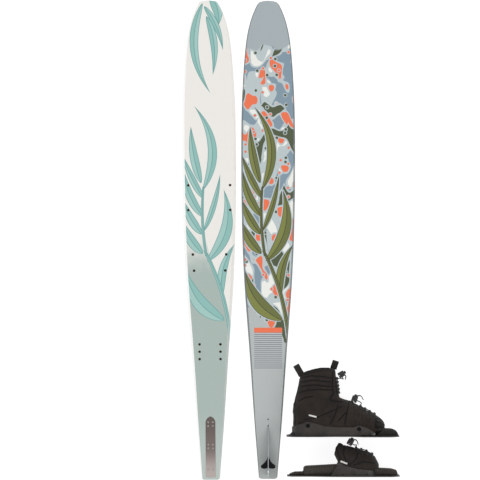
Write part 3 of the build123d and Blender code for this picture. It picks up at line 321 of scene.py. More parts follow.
def base_art():
    """Grey base with a band of coloured islands under olive leaves."""
    leaf = leaf_group("base_leaf", OLIVE_LIGHT, OLIVE_DARK, OLIVE_LINE, BLOB_GROUND, 3.4)
    stem = leaf_group("base_stem", OLIVE_LIGHT, OLIVE_DARK, OLIVE_LINE, OLIVE_LINE, 0.0)
    tree, n, entry, leave = group_tree("base_art", [("Position", "Vector")], [("Colour", "Color")])
    position = entry["Position"]
    x, along, _ = n.split(position)
    colour = islands(n, position, 0.026, 410, 0.48, BLOB_WHITE, BLOB_GROUND)
    colour = ribbons(n, position, 0.016, 120, 0.10, 0.36, BLOB_BLUE, colour)
    colour = islands(n, position, 0.028, 870, 0.60, BLOB_ORANGE, colour)
    colour = ribbons(n, position, 0.015, 640, 0.09, 0.46, BLOB_GREEN, colour)
    colour = dots(n, position, 0.030, 230, 5.0, BLOB_GREEN, colour)
    colour = dots(n, position, 0.034, 510, 4.5, BLOB_ORANGE, colour)
    wave = n.math("MULTIPLY", n.noise(position, 0.03, 0), 70.0)
    band = n.math("ADD", along, wave)
    grey = n.mix(n.step(along, 300.0, 1500.0), TAIL_GREY, NOSE_GREY)
    diagonal = n.math("ADD", band, n.math("MULTIPLY", x, 0.9))
    colour = n.mix(n.step(diagonal, 560.0, 568.0), grey, colour)
    colour = n.mix(n.step(band, 1528.0, 1536.0), colour, grey)
    colour = paint_leaves(n, leaf, position, colour, STEMS, STEM_TAPER)
    colour = paint_leaves(n, leaf, position, colour, PLANT_LEAVES, LEAF_TAPER)
    colour = paint_leaves(n, stem, position, colour, STEMS, STEM_TAPER)
    # blank striped label with an orange bar
    panel = [n.step(n.math("ABSOLUTE", n.math("SUBTRACT", value, middle)), half + 0.6, half)
             for value, middle, half in ((x, 0.0, 48.0), (along, 452.0, 71.0))]
    stripes = n.step(n.math("PINGPONG", along, 3.4), 1.3, 1.9)
    label = n.mix(n.math("MULTIPLY", stripes, 0.75), LABEL_PALE, LABEL_STRIPE)
    label = n.mix(n.step(along, 506.0, 507.0), label, BLOB_ORANGE)
    colour = n.mix(n.math("MULTIPLY", *panel), colour, label)
    # painted shade of the tunnel near the tail: the last 240 mm of the base are darkened
    colour = n.mix(n.math("MULTIPLY", n.step(along, 240.0, 120.0), 0.45), colour, srgb(150, 155, 154))
    n.give(leave[0], colour)
    return tree


# each ski's tail end, its turn on the floor, and the side that its deck faces
SKIS = {
    "deck_up": ((-274.4, -826.1), math.radians(0.33), 1),
    "base_up": ((-76.8, -826.1), 0.0, -1),
}
DECK_ART = deck_art()
BASE_ART = base_art()


def ski_coordinates(nodes, ski, facing):
    """Position on a ski's face as it is seen from outside, in millimetres from the tail's end."""
    (x, y), turn, _ = SKIS[ski]
    at = Matrix.Rotation(-turn, 3, "Z") @ Vector((x, y, 0))
    return nodes.place((-at.x * facing, -at.y, 0), -turn * facing, (1000 * facing, 1000, 1000))


def ski_material(ski, part):
    art, facing = {"deck": (DECK_ART, SKIS[ski][2]), "base": (BASE_ART, -SKIS[ski][2])}[part]
    made, n, shader = material(f"{ski}_{part}_laminate", 0.34, Coat_Weight=0.35, Coat_Roughness=0.12)
    position = ski_coordinates(n, ski, facing)
    colour = use_group(n, art, position)
    normal_x, _, normal_z = n.split(n.add("TexCoord").outputs["Normal"])
    flat = n.math("MULTIPLY", normal_z, float(facing))
    if part == "deck":
        # painted light: bevels facing left, towards the key light, are painted pure white
        left = n.math("MULTIPLY", normal_x, -float(facing))
        colour = n.mix(n.step(flat, 0.4, 0.6), DECK_WHITE, colour)
        colour = n.mix(n.step(left, 0.08, 0.16), colour, PAINTED_LIT_BEVEL_WHITE)
    else:
        colour = n.mix(n.step(flat, 0.80, 0.94), EDGE_GREY, colour)
    speckle = n.noise(position, 1.4, 2)
    colour = n.mix(n.math("MULTIPLY", speckle, 0.05), colour, srgb(120, 124, 122))
    n.give(shader.inputs["Base Color"], colour)
    haze = n.noise(position, 0.02, 4, 0.6)
    vary_roughness(n, shader, haze, 0.22, 0.24)
    scratches = n.noise(n.vector("MULTIPLY", position, (1.0, 0.04, 1.0)), 1.1, 3)
    bump(n, shader, n.math("ADD", scratches, n.noise(position, 0.35, 2)), 0.00008, 0.6)
    return made


def dress(node, made):
    """Gives a CAD node its finished material."""
    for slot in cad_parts[node].material_slots:
        slot.material = made


for ski in SKIS:
    dress(f"{ski}_top_shell", ski_material(ski, "deck"))
    dress(f"{ski}_base_shell", ski_material(ski, "base"))


# -------------------- floor, light and camera
VIEW_CENTRE = Vector((-0.1739, -0.0006, 0.05))
LENS, SENSOR = 300.0, 36.0
VIEW_WIDTH = 1.6526


def area_light(name, location, size, power):
    data = bpy.data.lights.new(name, "AREA")
    data.shape = "SQUARE"
    data.size = size
    data.energy = power
    light = bpy.data.objects.new(name, data)
    light.location = location
    light.rotation_euler = (VIEW_CENTRE - Vector(location)).to_track_quat("-Z", "Y").to_euler()
    bpy.context.scene.collection.objects.link(light)


def make_floor():
    half = 12.0
    corners = [(-half, -half, 0), (half, -half, 0), (half, half, 0), (-half, half, 0)]
    mesh = bpy.data.meshes.new("floor")
    mesh.from_pydata(corners, [], [(0, 1, 2, 3)])
    floor = bpy.data.objects.new("floor", mesh)
    floor.location = (0, 0, -0.0005)
    bpy.context.scene.collection.objects.link(floor)
    made, n, shader = material("floor_paper", 0.9, Specular_IOR_Level=0.0)
    grain = n.noise(n.place(), 0.05, 2)
    n.give(shader.inputs["Base Color"], n.mix(grain, srgb(128, 128, 128), srgb(136, 136, 136)))
    shader.inputs["Emission Color"].default_value = (1, 1, 1, 1)
    shader.inputs["Emission Strength"].default_value = 0.9
    mesh.materials.append(made)


def make_studio():
    make_floor()
    world = bpy.data.worlds.new("studio")
    world.use_nodes = True
    world.node_tree.nodes["Background"].inputs["Color"].default_value = (1, 1, 1, 1)
    world.node_tree.nodes["Background"].inputs["Strength"].default_value = 0.58
    bpy.context.scene.world = world
    area_light("key", (-2.6, 2.2, 4.2), 2.6, 78)
    area_light("fill", (2.8, -1.2, 3.8), 3.0, 48)
    area_light("front", (0.2, -3.6, 2.8), 2.4, 30)
    data = bpy.data.cameras.new("camera")
    data.lens = LENS
    data.sensor_width = SENSOR
    data.clip_end = 100
    camera = bpy.data.objects.new("camera", data)
    camera.location = VIEW_CENTRE + Vector((0, 0, VIEW_WIDTH * LENS / SENSOR))
    bpy.context.scene.collection.objects.link(camera)
    bpy.context.scene.camera = camera
    bpy.context.scene.view_settings.view_transform = "Standard"


# -------------------- places of the boot and the toe plate
class Binding:
    """A binding that lies on its side, in its own millimetres: x forward, y across, z up from its sole."""

    def __init__(self, plate):
        low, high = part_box(plate)
        self.origin = Vector((low.x, low.y, (low.z + high.z) / 2))

    def at(self, x, y, z):
        return self.origin + Vector((x, z, -y)) * MM


boot = Binding("boot_plate")
toe = Binding("toe_plate")


# -------------------- cords
LOOP_DIAMETER = 3.0


def lock_axes(x, z, lean):
    """Foot of a cord lock that leans forward by lean degrees, and its own forward and up directions."""
    turn = math.radians(lean)
    forward = Vector((math.cos(turn), 0, -math.sin(turn)))
    up = Vector((math.sin(turn), 0, math.cos(turn)))
    return Vector((x, 0, z)), forward, up


def free_loop(name, node, body, binding, lock, reach):
    """The free loop of a lace: out of one side of its lock, over in front and back in at the other."""
    foot, forward, up = lock
    half = [(0, 5, 4), (0, 15, 4), (1, 18, reach * 0.6), (reach * 0.45, 15, reach),
            (reach * 0.9, 9, reach * 0.6)]
    route = half + [(x, -y, z) for x, y, z in reversed(half)]
    points = [binding.at(*(foot + forward * x + Vector((0, y, 0)) + up * z)) for x, y, z in route]
    data = bpy.data.curves.new(name, "CURVE")
    data.dimensions = "3D"
    data.resolution_u = 10
    data.bevel_depth = LOOP_DIAMETER / 2 * MM
    data.bevel_resolution = 5
    data.use_fill_caps = True
    spline = data.splines.new("NURBS")
    spline.points.add(len(points) - 1)
    for control, point in zip(spline.points, points):
        control.co = (*point, 1)
    spline.order_u = 3
    spline.use_endpoint_u = True
    loop = bpy.data.objects.new(name, data)
    bpy.context.scene.collection.objects.link(loop)
    data.materials.append(LACE)
    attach(loop, body)
    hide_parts(node)


def lace_material():
    made, n, shader = material("braided_lace", 0.75, Sheen_Weight=0.3)
    x, y, _ = n.split(n.place())
    waves = [n.math("SINE", n.math("MULTIPLY", value, 4.0)) for value in (x, y)]
    weave = n.math("MULTIPLY", *waves)
    colour = n.mix(n.step(weave, -0.6, 0.6), srgb(26, 24, 23), srgb(52, 48, 45))
    n.give(shader.inputs["Base Color"], colour)
    bump(n, shader, weave, 0.0004, 0.8)
    return made


LACE = lace_material()
BOOT_LOCK = lock_axes(230, 117, 20)
CUFF_LOCK = lock_axes(179, 207, 60)
TOE_LOCK = lock_axes(212, 107, 30)
free_loop("forefoot_lace_loop", "boot_lace_loop", "boot", boot, BOOT_LOCK, 32.0)
free_loop("cuff_lace_free_loop", "cuff_lace_loop", "boot_cuff", boot, CUFF_LOCK, 24.0)
free_loop("hood_lace_loop", "toe_lace_loop", "toe_plate_binding", toe, TOE_LOCK, 30.0)


# -------------------- materials of the hardware and bindings
def plastic(name, light, dark, roughness, grain=0.9):
    """Moulded plastic: fine mould grain, faint marbling and rubbed patches."""
    made, n, shader = material(name, roughness)
    position = n.place()
    marble = n.noise(position, 0.02, 4, 1.2)
    n.give(shader.inputs["Base Color"], n.mix(n.step(marble, 0.3, 0.72), srgb(*dark), srgb(*light)))
    vary_roughness(n, shader, n.noise(position, 0.06, 3), roughness - 0.15, 0.3)
    bump(n, shader, n.noise(position, grain, 2), 0.00025, 0.5)
    return made


def hairlines(n, position):
    return n.noise(n.vector("MULTIPLY", position, (1.0, 0.02, 1.0)), 3.0, 3)


def brushed_metal(name, light, dark, roughness):
    """Brushed metal, its hairlines along the skis."""
    made, n, shader = material(name, roughness, 0.85)
    position = n.place()
    hairs = hairlines(n, position)
    cloud = n.noise(position, 0.03, 3)
    colour = n.mix(n.step(hairs, 0.3, 0.7), srgb(*dark), srgb(*light))
    n.give(shader.inputs["Base Color"], n.mix(n.math("MULTIPLY", cloud, 0.3), colour, srgb(*dark)))
    vary_roughness(n, shader, hairs, roughness - 0.08, 0.16)
    bump(n, shader, hairs, 0.00006, 0.5)
    return made


def woven(n, position, pitch):
    """Height of a plain weave seen from any side: the product of crossed waves."""
    x, y, z = n.split(position)
    turns = 2 * math.pi / pitch
    first = n.math("SINE", n.math("MULTIPLY", n.math("ADD", x, n.math("MULTIPLY", z, 0.7)), turns))
    second = n.math("SINE", n.math("MULTIPLY", n.math("ADD", y, n.math("MULTIPLY", z, -0.7)), turns))
    return n.math("MULTIPLY", first, second)


def fabric(name, light, dark, pitch, roughness=0.8, depth=0.00025, paint_crease_shade=False):
    """Fabric: a weave over faint clouds and, where asked, near-black from the mesh's darkening attribute:
    painted shade in seams, creases and rib grooves, and a darker toe cap.
    """
    made, n, shader = material(name, roughness, Specular_IOR_Level=0.25, Sheen_Weight=0.06,
                               Sheen_Roughness=0.5)
    position = n.place()
    weave = woven(n, position, pitch)
    cloud = n.noise(position, 0.03, 4)
    colour = n.mix(n.step(cloud, 0.3, 0.7), srgb(*dark), srgb(*light))
    colour = n.mix(n.math("MULTIPLY", n.step(weave, -0.8, 0.8), 0.25), colour, srgb(*dark))
    if paint_crease_shade:
        # painted shade: seams, creases and rib grooves are painted near black, and the toe cap darker
        crease_shade_and_dark_toe = n.add("Attribute", attribute_name="crease_shade_and_dark_toe").outputs["Fac"]
        colour = n.mix(n.step(crease_shade_and_dark_toe, 0.15, 0.8), colour, srgb(7, 6, 5))
    n.give(shader.inputs["Base Color"], colour)
    vary_roughness(n, shader, cloud, roughness - 0.1, 0.2)
    bump(n, shader, n.math("ADD", weave, n.noise(position, 0.5, 3)), depth, 0.7)
    return made


def plate_metal():
    """Fin block plate: dark warm anodised metal, its colour paler towards the tail."""
    made, n, shader = material("fin_plate_anodised", 0.36, 0.75)
    position = n.place()
    along = n.math("ADD", n.split(position)[1], 826.0)
    hairs = hairlines(n, position)
    colour = n.mix(n.step(along, 20.0, 120.0), srgb(206, 192, 188), srgb(126, 112, 108))
    colour = n.mix(n.step(along, 120.0, 200.0), colour, srgb(104, 92, 88))
    colour = n.mix(n.math("MULTIPLY", hairs, 0.35), colour, srgb(150, 140, 136))
    n.give(shader.inputs["Base Color"], colour)
    vary_roughness(n, shader, hairs, 0.28, 0.2)
    bump(n, shader, hairs, 0.00006, 0.5)
    return made


def foam(name, light, dark, groove_pitch):
    """Closed-cell foam with moulded grooves across the foot, painted dark in the grooves as shade."""
    made, n, shader = material(name, 0.85)
    position = n.place()
    grooves = n.step(n.math("PINGPONG", n.split(position)[0], groove_pitch / 2), 0.3, 1.1)
    cells = n.noise(position, 0.8, 3)
    colour = n.mix(n.step(cells, 0.3, 0.7), srgb(*dark), srgb(*light))
    # painted shade: the grooves' bottoms take the dark colour
    n.give(shader.inputs["Base Color"], n.mix(grooves, srgb(*dark), colour))
    vary_roughness(n, shader, cells, 0.75, 0.2)
    bump(n, shader, n.math("ADD", n.math("MULTIPLY", grooves, 2.0), cells), 0.0005, 0.8)
    return made


UPPER = fabric("upper_fabric", (46, 38, 33), (30, 24, 21), 1.5, paint_crease_shade=True)
LINER = fabric("liner_fabric", (36, 32, 30), (22, 20, 19), 2.4)
TONGUE = fabric("tongue_fabric", (33, 30, 28), (20, 18, 17), 2.0)
HOOD_CLOTH = fabric("hood_neoprene", (46, 38, 33), (30, 24, 21), 1.2, 0.7, paint_crease_shade=True)
WEBBING = fabric("webbing", (48, 44, 41), (27, 24, 23), 1.1, 0.7, 0.0004)
TAG = fabric("tag_fabric", (236, 234, 230), (206, 204, 200), 0.9, 0.7)
FRAME_PLASTIC = plastic("frame_plastic", (52, 45, 40), (36, 31, 28), 0.42)
PLATE_PLASTIC = plastic("plate_plastic", (44, 40, 38), (28, 26, 25), 0.5)
BRACKET_PLASTIC = plastic("bracket_plastic", (58, 52, 48), (38, 34, 31), 0.34)
LOCK_PLASTIC = plastic("lock_plastic", (58, 56, 54), (36, 34, 33), 0.36)
BUTTON_PLASTIC = plastic("button_plastic", (34, 33, 32), (20, 19, 19), 0.3)
EYELET_PLASTIC = plastic("eyelet_plastic", (40, 38, 37), (24, 23, 22), 0.4)
PAD_FOAM = foam("pad_foam", (50, 46, 43), (28, 25, 23), 7.0)
FOOTBED_FOAM = foam("footbed_foam", (68, 61, 55), (45, 40, 36), 7.0)
INSOLE_FOAM = foam("insole_foam", (60, 56, 54), (40, 37, 35), 9.0)
CORE_FOAM = plastic("core_foam", (214, 196, 150), (190, 170, 124), 0.8, 2.0)
BRASS = brushed_metal("insert_brass", (96, 84, 66), (54, 46, 38), 0.4)
BOLT_STEEL = brushed_metal("bolt_steel", (34, 32, 31), (14, 13, 13), 0.3)
SCREW_STEEL = brushed_metal("screw_steel", (214, 208, 204), (150, 144, 140), 0.3)
FIN_METAL = brushed_metal("fin_metal", (222, 224, 224), (170, 174, 176), 0.28)
WING_METAL = brushed_metal("wing_metal", (30, 30, 31), (12, 12, 13), 0.4)
CLAMP_METAL = brushed_metal("clamp_metal", (150, 152, 154), (100, 102, 104), 0.4)
FIN_PLATE_METAL = plate_metal()

for ski in SKIS:
    dress(f"{ski}_core", CORE_FOAM)
    dress(f"{ski}_inserts", BRASS)
    dress(f"{ski}_fin_plate", FIN_PLATE_METAL)
    dress(f"{ski}_fin_box", LOCK_PLASTIC)
    dress(f"{ski}_fin_clamps", CLAMP_METAL)
    dress(f"{ski}_fin_screws", SCREW_STEEL)
    dress(f"{ski}_fin", FIN_METAL)
    dress(f"{ski}_wing", WING_METAL)
    dress(f"{ski}_wing_screws", BOLT_STEEL)
for node in ("boot_plate", "toe_plate"):
    dress(node, PLATE_PLASTIC)
dress("boot_frame", FRAME_PLASTIC)
dress("toe_brackets", BRACKET_PLASTIC)
for node in ("boot_frame_bolts", "toe_screws"):
    dress(node, BOLT_STEEL)
dress("boot_insole", INSOLE_FOAM)
for node in ("boot_tags", "toe_tags"):
    dress(node, TAG)
for item in ("boot", "cuff", "toe"):
    dress(f"{item}_eyelets", EYELET_PLASTIC)
    dress(f"{item}_lace", LACE)
    dress(f"{item}_lock", LOCK_PLASTIC)
    dress(f"{item}_lock_button", BUTTON_PLASTIC)


# -------------------- mesh tools, in a binding's own mm
def loft(rings):
    """Vertices and faces of a closed body through rings of equally many points."""
    count = len(rings[0])
    vertices = [point for ring in rings for point in ring]
    faces = []
    for i in range(len(rings) - 1):
        for j in range(count):
            k = (j + 1) % count
            faces.append((i * count + j, i * count + k, (i + 1) * count + k, (i + 1) * count + j))
    faces.append(tuple(reversed(range(count))))
    faces.append(tuple(range((len(rings) - 1) * count, len(rings) * count)))
    return vertices, faces


def new_piece(name, *bodies):
    """One mesh object that holds the given bodies, each a list of vertices and a list of faces."""
    vertices, faces = [], []
    for body_vertices, body_faces in bodies:
        start = len(vertices)
        vertices += body_vertices
        faces += [tuple(start + i for i in face) for face in body_faces]
    mesh = bpy.data.meshes.new(name)
    mesh.from_pydata(vertices, [], faces)
    mesh.update()
    piece = bpy.data.objects.new(name, mesh)
    bpy.context.scene.collection.objects.link(piece)
    return piece


def apply_modifiers(piece):
    graph = bpy.context.evaluated_depsgraph_get()
    mesh = bpy.data.meshes.new_from_object(piece.evaluated_get(graph))
    piece.modifiers.clear()
    piece.data = mesh
    mesh.name = piece.name


def remesh(piece, voxel, smoothing=4):
    """One even skin round everything in the piece, then smoothed."""
    modifier = piece.modifiers.new("skin", "REMESH")
    modifier.mode = "VOXEL"
    modifier.voxel_size = voxel
    modifier.use_smooth_shade = True
    smooth = piece.modifiers.new("ease", "SMOOTH")
    smooth.factor = 0.5
    smooth.iterations = smoothing
    apply_modifiers(piece)


def solidify(piece, thickness):
    modifier = piece.modifiers.new("wall", "SOLIDIFY")
    modifier.thickness = thickness
    modifier.offset = -1
    modifier.use_even_offset = False
    apply_modifiers(piece)


def cut(mesh, lines, keep):
    """Adds clean edges where planes cross the mesh, then drops the faces that keep(x, y, z) refuses.

    A line of two (x, z) points stands for the plane across the binding through both, and a number for
    the plane of that y. keep() is asked about the middle of each face.
    """
    made = bmesh.new()
    made.from_mesh(mesh)
    for line in lines:
        if isinstance(line, (int, float)):
            point, normal = (0, line, 0), (0, 1, 0)
        else:
            (x0, z0), (x1, z1) = line
            point, normal = (x0, 0, z0), (z1 - z0, 0, x0 - x1)
        geometry = made.verts[:] + made.edges[:] + made.faces[:]
        bmesh.ops.bisect_plane(made, geom=geometry, dist=1e-4, plane_co=point, plane_no=normal)
    refused = [face for face in made.faces if not keep(*face.calc_center_median())]
    bmesh.ops.delete(made, geom=refused, context="FACES")
    made.to_mesh(mesh)
    made.free()
    mesh.update()


def between(points, x):
    """Height at x of a line through points, which runs on level past both ends."""
    if x <= points[0][0]:
        return points[0][1]
    for (x0, z0), (x1, z1) in zip(points, points[1:]):
        if x <= x1:
            return z0 + (z1 - z0) * (x - x0) / (x1 - x0)
    return points[-1][1]


def to_line(x, z, line):
    """Distance in x and z from a point to a line of several points."""
    nearest = 1e9
    for (x0, z0), (x1, z1) in zip(line, line[1:]):
        dx, dz = x1 - x0, z1 - z0
        share = max(0.0, min(1.0, ((x - x0) * dx + (z - z0) * dz) / (dx * dx + dz * dz)))
        nearest = min(nearest, math.hypot(x - x0 - share * dx, z - z0 - share * dz))
    return nearest


def shape(mesh, move):
    """Moves every vertex along its normal by what move(x, y, z) says, and keeps its darkening, 0 to 1:
    painted shade in the grooves, and the toe cap's darker tone.
    """
    moves = [move(*vertex.co) for vertex in mesh.vertices]
    normals = [vertex.normal.copy() for vertex in mesh.vertices]
    shade_and_toe_layer = mesh.attributes.new("crease_shade_and_dark_toe", "FLOAT", "POINT")
    for vertex, normal, (out, crease_shade_and_dark_toe), value in zip(mesh.vertices, normals, moves, shade_and_toe_layer.data):
        vertex.co += normal * out
        value.value = crease_shade_and_dark_toe
    mesh.update()


def tailor(piece, move, lines, keep, wall):
    """Quilts a closed skin, cuts it open and gives it a wall."""
    shape(piece.data, move)
    cut(piece.data, lines, keep)
    solidify(piece, wall)


def cover(piece, made):
    """Gives a piece its one material and smooth shading."""
    piece.data.materials.clear()
    piece.data.materials.append(made)
    for polygon in piece.data.polygons:
        polygon.use_smooth = True


def finish_piece(piece, binding, made, nodes):
    """Moves the piece from its binding's millimetres to its place, with its material, slot and nodes."""
    turn = Matrix(((1, 0, 0), (0, 0, 1), (0, -1, 0))).to_4x4()
    piece.data.transform(Matrix.Translation(binding.origin) @ turn @ Matrix.Scale(MM, 4))
    cover(piece, made)
    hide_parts(*nodes)


# -------------------- boot
# (x, half width, bottom, top of the upright side, top) of the boot's foot and of the toe plate's hood
FOOT = [
    (10, 34, 7.4, 80, 106), (40, 39, 7.4, 88, 122), (75, 42, 7.4, 96, 142), (150, 44, 7.4, 90, 150),
    (185, 45.5, 7.4, 74, 134), (215, 47.5, 7.4, 62, 124), (252, 50, 8, 50, 103), (288, 48, 11, 41, 82),
    (318, 44, 18, 36, 66), (350, 36, 25, 34, 46),
]
HOOD = [
    (150, 45, 4.4, 52, 122), (187, 48, 4.4, 52, 112), (209, 50, 4.4, 50, 104), (248, 51, 4.4, 46, 92),
    (276, 49, 4.4, 42, 83), (305, 45, 4.4, 34, 66), (330, 40, 4.4, 28, 48),
]
# where each starts and ends in x, and its round ends seen from above: (centre x, radius, way it faces)
FOOT_ENDS, FOOT_ROUNDS = (22, 339), [(70, 48, -1), (289, 50, 1)]
HOOD_ENDS, HOOD_ROUNDS = (150, 317), [(265, 52, 1)]
# length over which a toe is rounded in height
TOE_ROUND = 20.0
# (z, x at the back, x at the front, half width) of the cuff
CUFF = [(80, 20, 184, 43), (100, 21, 185, 44), (130, 28, 184, 46), (160, 36, 180, 48), (200, 44, 173, 52),
        (250, 52, 166, 55)]
CUFF_SKIN_TOP = 246.0
CUFF_TOP = [(30, 197), (48, 206), (70, 214), (95, 221), (120, 225.5), (145, 226), (166, 221), (186, 214)]
# half widths of the lace slots and of the tongues
SLOT_HALF, TONGUE_HALF = 13.0, 24.0
# bottom edges of the lace slots and of the tongues, in x and z, and where the slots start and end in x
FOOT_SLOT = [(160, 105), (215, 106), (252, 86), (288, 66), (308, 56)]
FOOT_SLOT_START, FOOT_SLOT_END = 152, 313
TONGUE_LOW = [(150, 95), (215, 95), (252, 75), (288, 56), (318, 44)]
TONGUE_TOP, TONGUE_BACK = 237, 130
HOOD_SLOT = [(215, 86), (248, 76), (276, 66), (300, 54)]
HOOD_SLOT_END = 302
HOOD_TONGUE_LOW = [(206, 70), (248, 62), (276, 54), (304, 44)]
HOOD_BOTTOM = 10.2
HOOD_MOUTH = [(186, HOOD_BOTTOM), (174, 50), (163, 72), (168, 96), (184, 125)]
# heights above which the tongue lies under the cuff's laces, and above which the cuff's slot is wide open
ANKLE_HEIGHT, CUFF_OPENS = 120, 200
# how far the liner's rim stands above the cuff, and its slot below the upper's
LINER_RISE, LINER_SLOT_DROP = 8.5, 14
WALL, LINER_WALL, HOOD_WALL = 3.0, 5.0, 5.0
# grain of each remeshed skin
UPPER_VOXEL, LINER_VOXEL, TONGUE_VOXEL = 2.6, 3.4, 3.0
# points per ring and rings per body
SIDE_STEPS, ARCH_STEPS, FOOT_STEPS = 8, 24, 60
CUFF_POINTS, CUFF_STEPS = 48, 27


def row_at(rows, x):
    """A table's row at x, in between its rows."""
    for lower, upper in zip(rows, rows[1:]):
        if x <= upper[0]:
            share = (x - lower[0]) / (upper[0] - lower[0])
            return [a + share * (b - a) for a, b in zip(lower, upper)]
    return list(rows[-1])


def arched_ring(x, half, bottom, side, top):
    """Ring of a foot: flat sole, upright sides and a half-ellipse top."""
    rising = range(1, SIDE_STEPS)
    ring = [(x, half * (1 - 2 * i / SIDE_STEPS), bottom) for i in range(SIDE_STEPS + 1)]
    ring += [(x, -half, bottom + (side - bottom) * i / SIDE_STEPS) for i in rising]
    for i in range(ARCH_STEPS + 1):
        angle = math.pi * i / ARCH_STEPS
        ring.append((x, -half * math.cos(angle), side + (top - side) * math.sin(angle)))
    ring += [(x, half, side + (bottom - side) * i / SIDE_STEPS) for i in rising]
    return ring


def arched_body(rows, ends, round_ends, inset):
    """A foot whose sides are drawn in at the round ends, and whose toe is rounded in height too."""
    rings = []
    first, last = ends[0] + inset, ends[1] - inset
    for i in range(FOOT_STEPS + 1):
        x = (first + last) / 2 - (last - first) / 2 * math.cos(math.pi * i / FOOT_STEPS)
        row = row_at(rows, x)
        half = row[1] - inset
        for centre, radius, facing in round_ends:
            if facing * (x - centre) > 0:
                reach = (radius - inset) ** 2 - (x - centre) ** 2
                half = min(half, math.sqrt(max(reach, 0.3)))
        beyond = max(0.0, (x - last + TOE_ROUND) / TOE_ROUND)
        swell = math.sqrt(max(0.02, 1 - 0.8 * beyond**2.4))
        middle = 0.35 * row[4] + 0.65 * row[2]
        bottom, side, top = [middle + (value - middle) * swell for value in row[2:]]
        rings.append(arched_ring(x, half, bottom + inset, side, top - inset))
    return loft(rings)


def cuff_body(inset):
    """The cuff's skin: ellipses one above the other, higher than the upper is cut off."""
    rings = []
    low = CUFF[0][0]
    around = [2 * math.pi * j / CUFF_POINTS for j in range(CUFF_POINTS)]
    for i in range(CUFF_STEPS + 1):
        z = low + (CUFF_SKIN_TOP - low) * i / CUFF_STEPS
        _, back, front, half = row_at(CUFF, z)
        middle, long, wide = (back + front) / 2, (front - back) / 2 - inset, half - inset
        rings.append([(middle + long * math.cos(a), wide * math.sin(a), z) for a in around])
    return loft(rings)


def boot_skin(name, inset, voxel, smoothing):
    """Closed skin round foot and cuff, inset millimetres inside the boot's outline."""
    foot = arched_body(FOOT, FOOT_ENDS, FOOT_ROUNDS, inset)
    piece = new_piece(name, foot, cuff_body(inset))
    remesh(piece, voxel, smoothing)
    return piece


def segments(line):
    """The straight parts of a line, for cut()."""
    return list(zip(line, line[1:]))


def upright(x):
    """The upright line at x, for cut()."""
    return (x, 0), (x, 200)


def level(z):
    """The level line at z, for cut()."""
    return (0, z), (200, z)


# seams and creases of the upper: (line in x and z, depth, half width)
CREASES = [
    ([(46, 200), (84, 209), (128, 206), (158, 200)], 1.6, 2.6),
    ([(46, 186), (90, 194), (154, 187)], 1.4, 2.8),
    ([(48, 172), (96, 178), (154, 171)], 1.8, 2.8),
    ([(42, 150), (72, 159), (110, 162), (156, 160)], 1.5, 2.6),
    ([(44, 124), (64, 134), (88, 138)], 1.3, 3.0),
    ([(158, 240), (157, 176), (160, 146), (148, 133), (152, 124), (188, 118)], 2.4, 3.2),
    ([(104, 66), (140, 82), (188, 103)], 1.9, 2.2),
    ([(104, 66), (60, 58)], 0.9, 2.2),
    ([(176, 108), (164, 72), (148, 42)], 1.7, 2.4),
    ([(178, 56), (204, 84)], 1.2, 2.6),
    ([(216, 124), (206, 84), (199, 42)], 1.8, 2.4),
    ([(30, 40), (29, 110), (40, 190)], 0.9, 2.4),
]
RIB_FIRST, RIB_PITCH = 224.0, 12.5
TOE_CAP = 304.0
# in front of the boot frame the toe's sole comes down to the plate
SOLE_START, SOLE_BULGE = 296.0, 5.2


def fabric_noise(x, y, z, size, seed):
    return noise.noise(Vector((x, y, z)) / size + Vector((seed, 0, 0)))


def crease(creases, rim, x, z, out):
    """Adds the grooves near x and z, each with a raised rim, to out. Returns it with the painted shade of
    the grooves, 0 to 1.
    """
    crease_shade_and_dark_toe = 0.0
    for line, depth, width in creases:
        distance = to_line(x, z, line)
        if distance < 5 * width:
            groove = math.exp(-((distance / width) ** 2))
            out += depth * (rim * math.exp(-((distance / (2.6 * width)) ** 2)) - groove)
            crease_shade_and_dark_toe = max(crease_shade_and_dark_toe, groove)
    return out, crease_shade_and_dark_toe


def upper_move(x, y, z):
    """Quilting of the upper: seams drawn in, panels full between them, ribs and a gathered toe, with
    painted shade in the grooves and a darker toe cap.
    """
    out = 0.9 * fabric_noise(x, y, z, 26, 3) + 0.5 * fabric_noise(x, y, 3 * z, 17, 8) - 0.4
    out, crease_shade_and_dark_toe = crease(CREASES, 0.35, x, z, out)
    # upright ribs over the forefoot
    if RIB_FIRST - 8 < x < TOE_CAP:
        phase = (x - RIB_FIRST + 0.10 * (z - 40)) / RIB_PITCH
        rib = abs(math.sin(math.pi * phase))
        share = min(1.0, (x - RIB_FIRST + 8) / 10, max(0.0, (z - 26) / 12))
        out += share * (0.9 * rib - 0.9)
        # painted shade in the rib grooves
        crease_shade_and_dark_toe = max(crease_shade_and_dark_toe, 0.75 * share * math.exp(-((rib / 0.28) ** 2)))
    # gathers of the toe cap
    if x >= TOE_CAP:
        angle = math.atan2(z - 30, abs(y) + 6)
        gather = math.sin(17 * angle + 2 * fabric_noise(x, y, z, 12, 5))
        out += 0.7 * gather - 0.5
        # the toe cap is painted darker all over, most on its gathered ridges
        crease_shade_and_dark_toe = max(crease_shade_and_dark_toe, 0.55 + 0.3 * gather)
    if x > SOLE_START:
        out += SOLE_BULGE * max(0.0, min(1.0, (30 - z) / 8)) * min(1.0, (x - SOLE_START) / 12)
    seam = math.exp(-(((x - TOE_CAP) / 2.0) ** 2)) * max(0.0, min(1.0, (z - 24) / 8))
    out -= 1.4 * seam
    return out, max(crease_shade_and_dark_toe, seam)


def in_front_slot(x, y, z, half):
    """The lace slot of foot and cuff, as one opening down the front."""
    ahead = x > FOOT_SLOT_START or (x > TONGUE_BACK and z > CUFF_OPENS)
    return ahead and abs(y) < half and x < FOOT_SLOT_END and z > between(FOOT_SLOT, x)


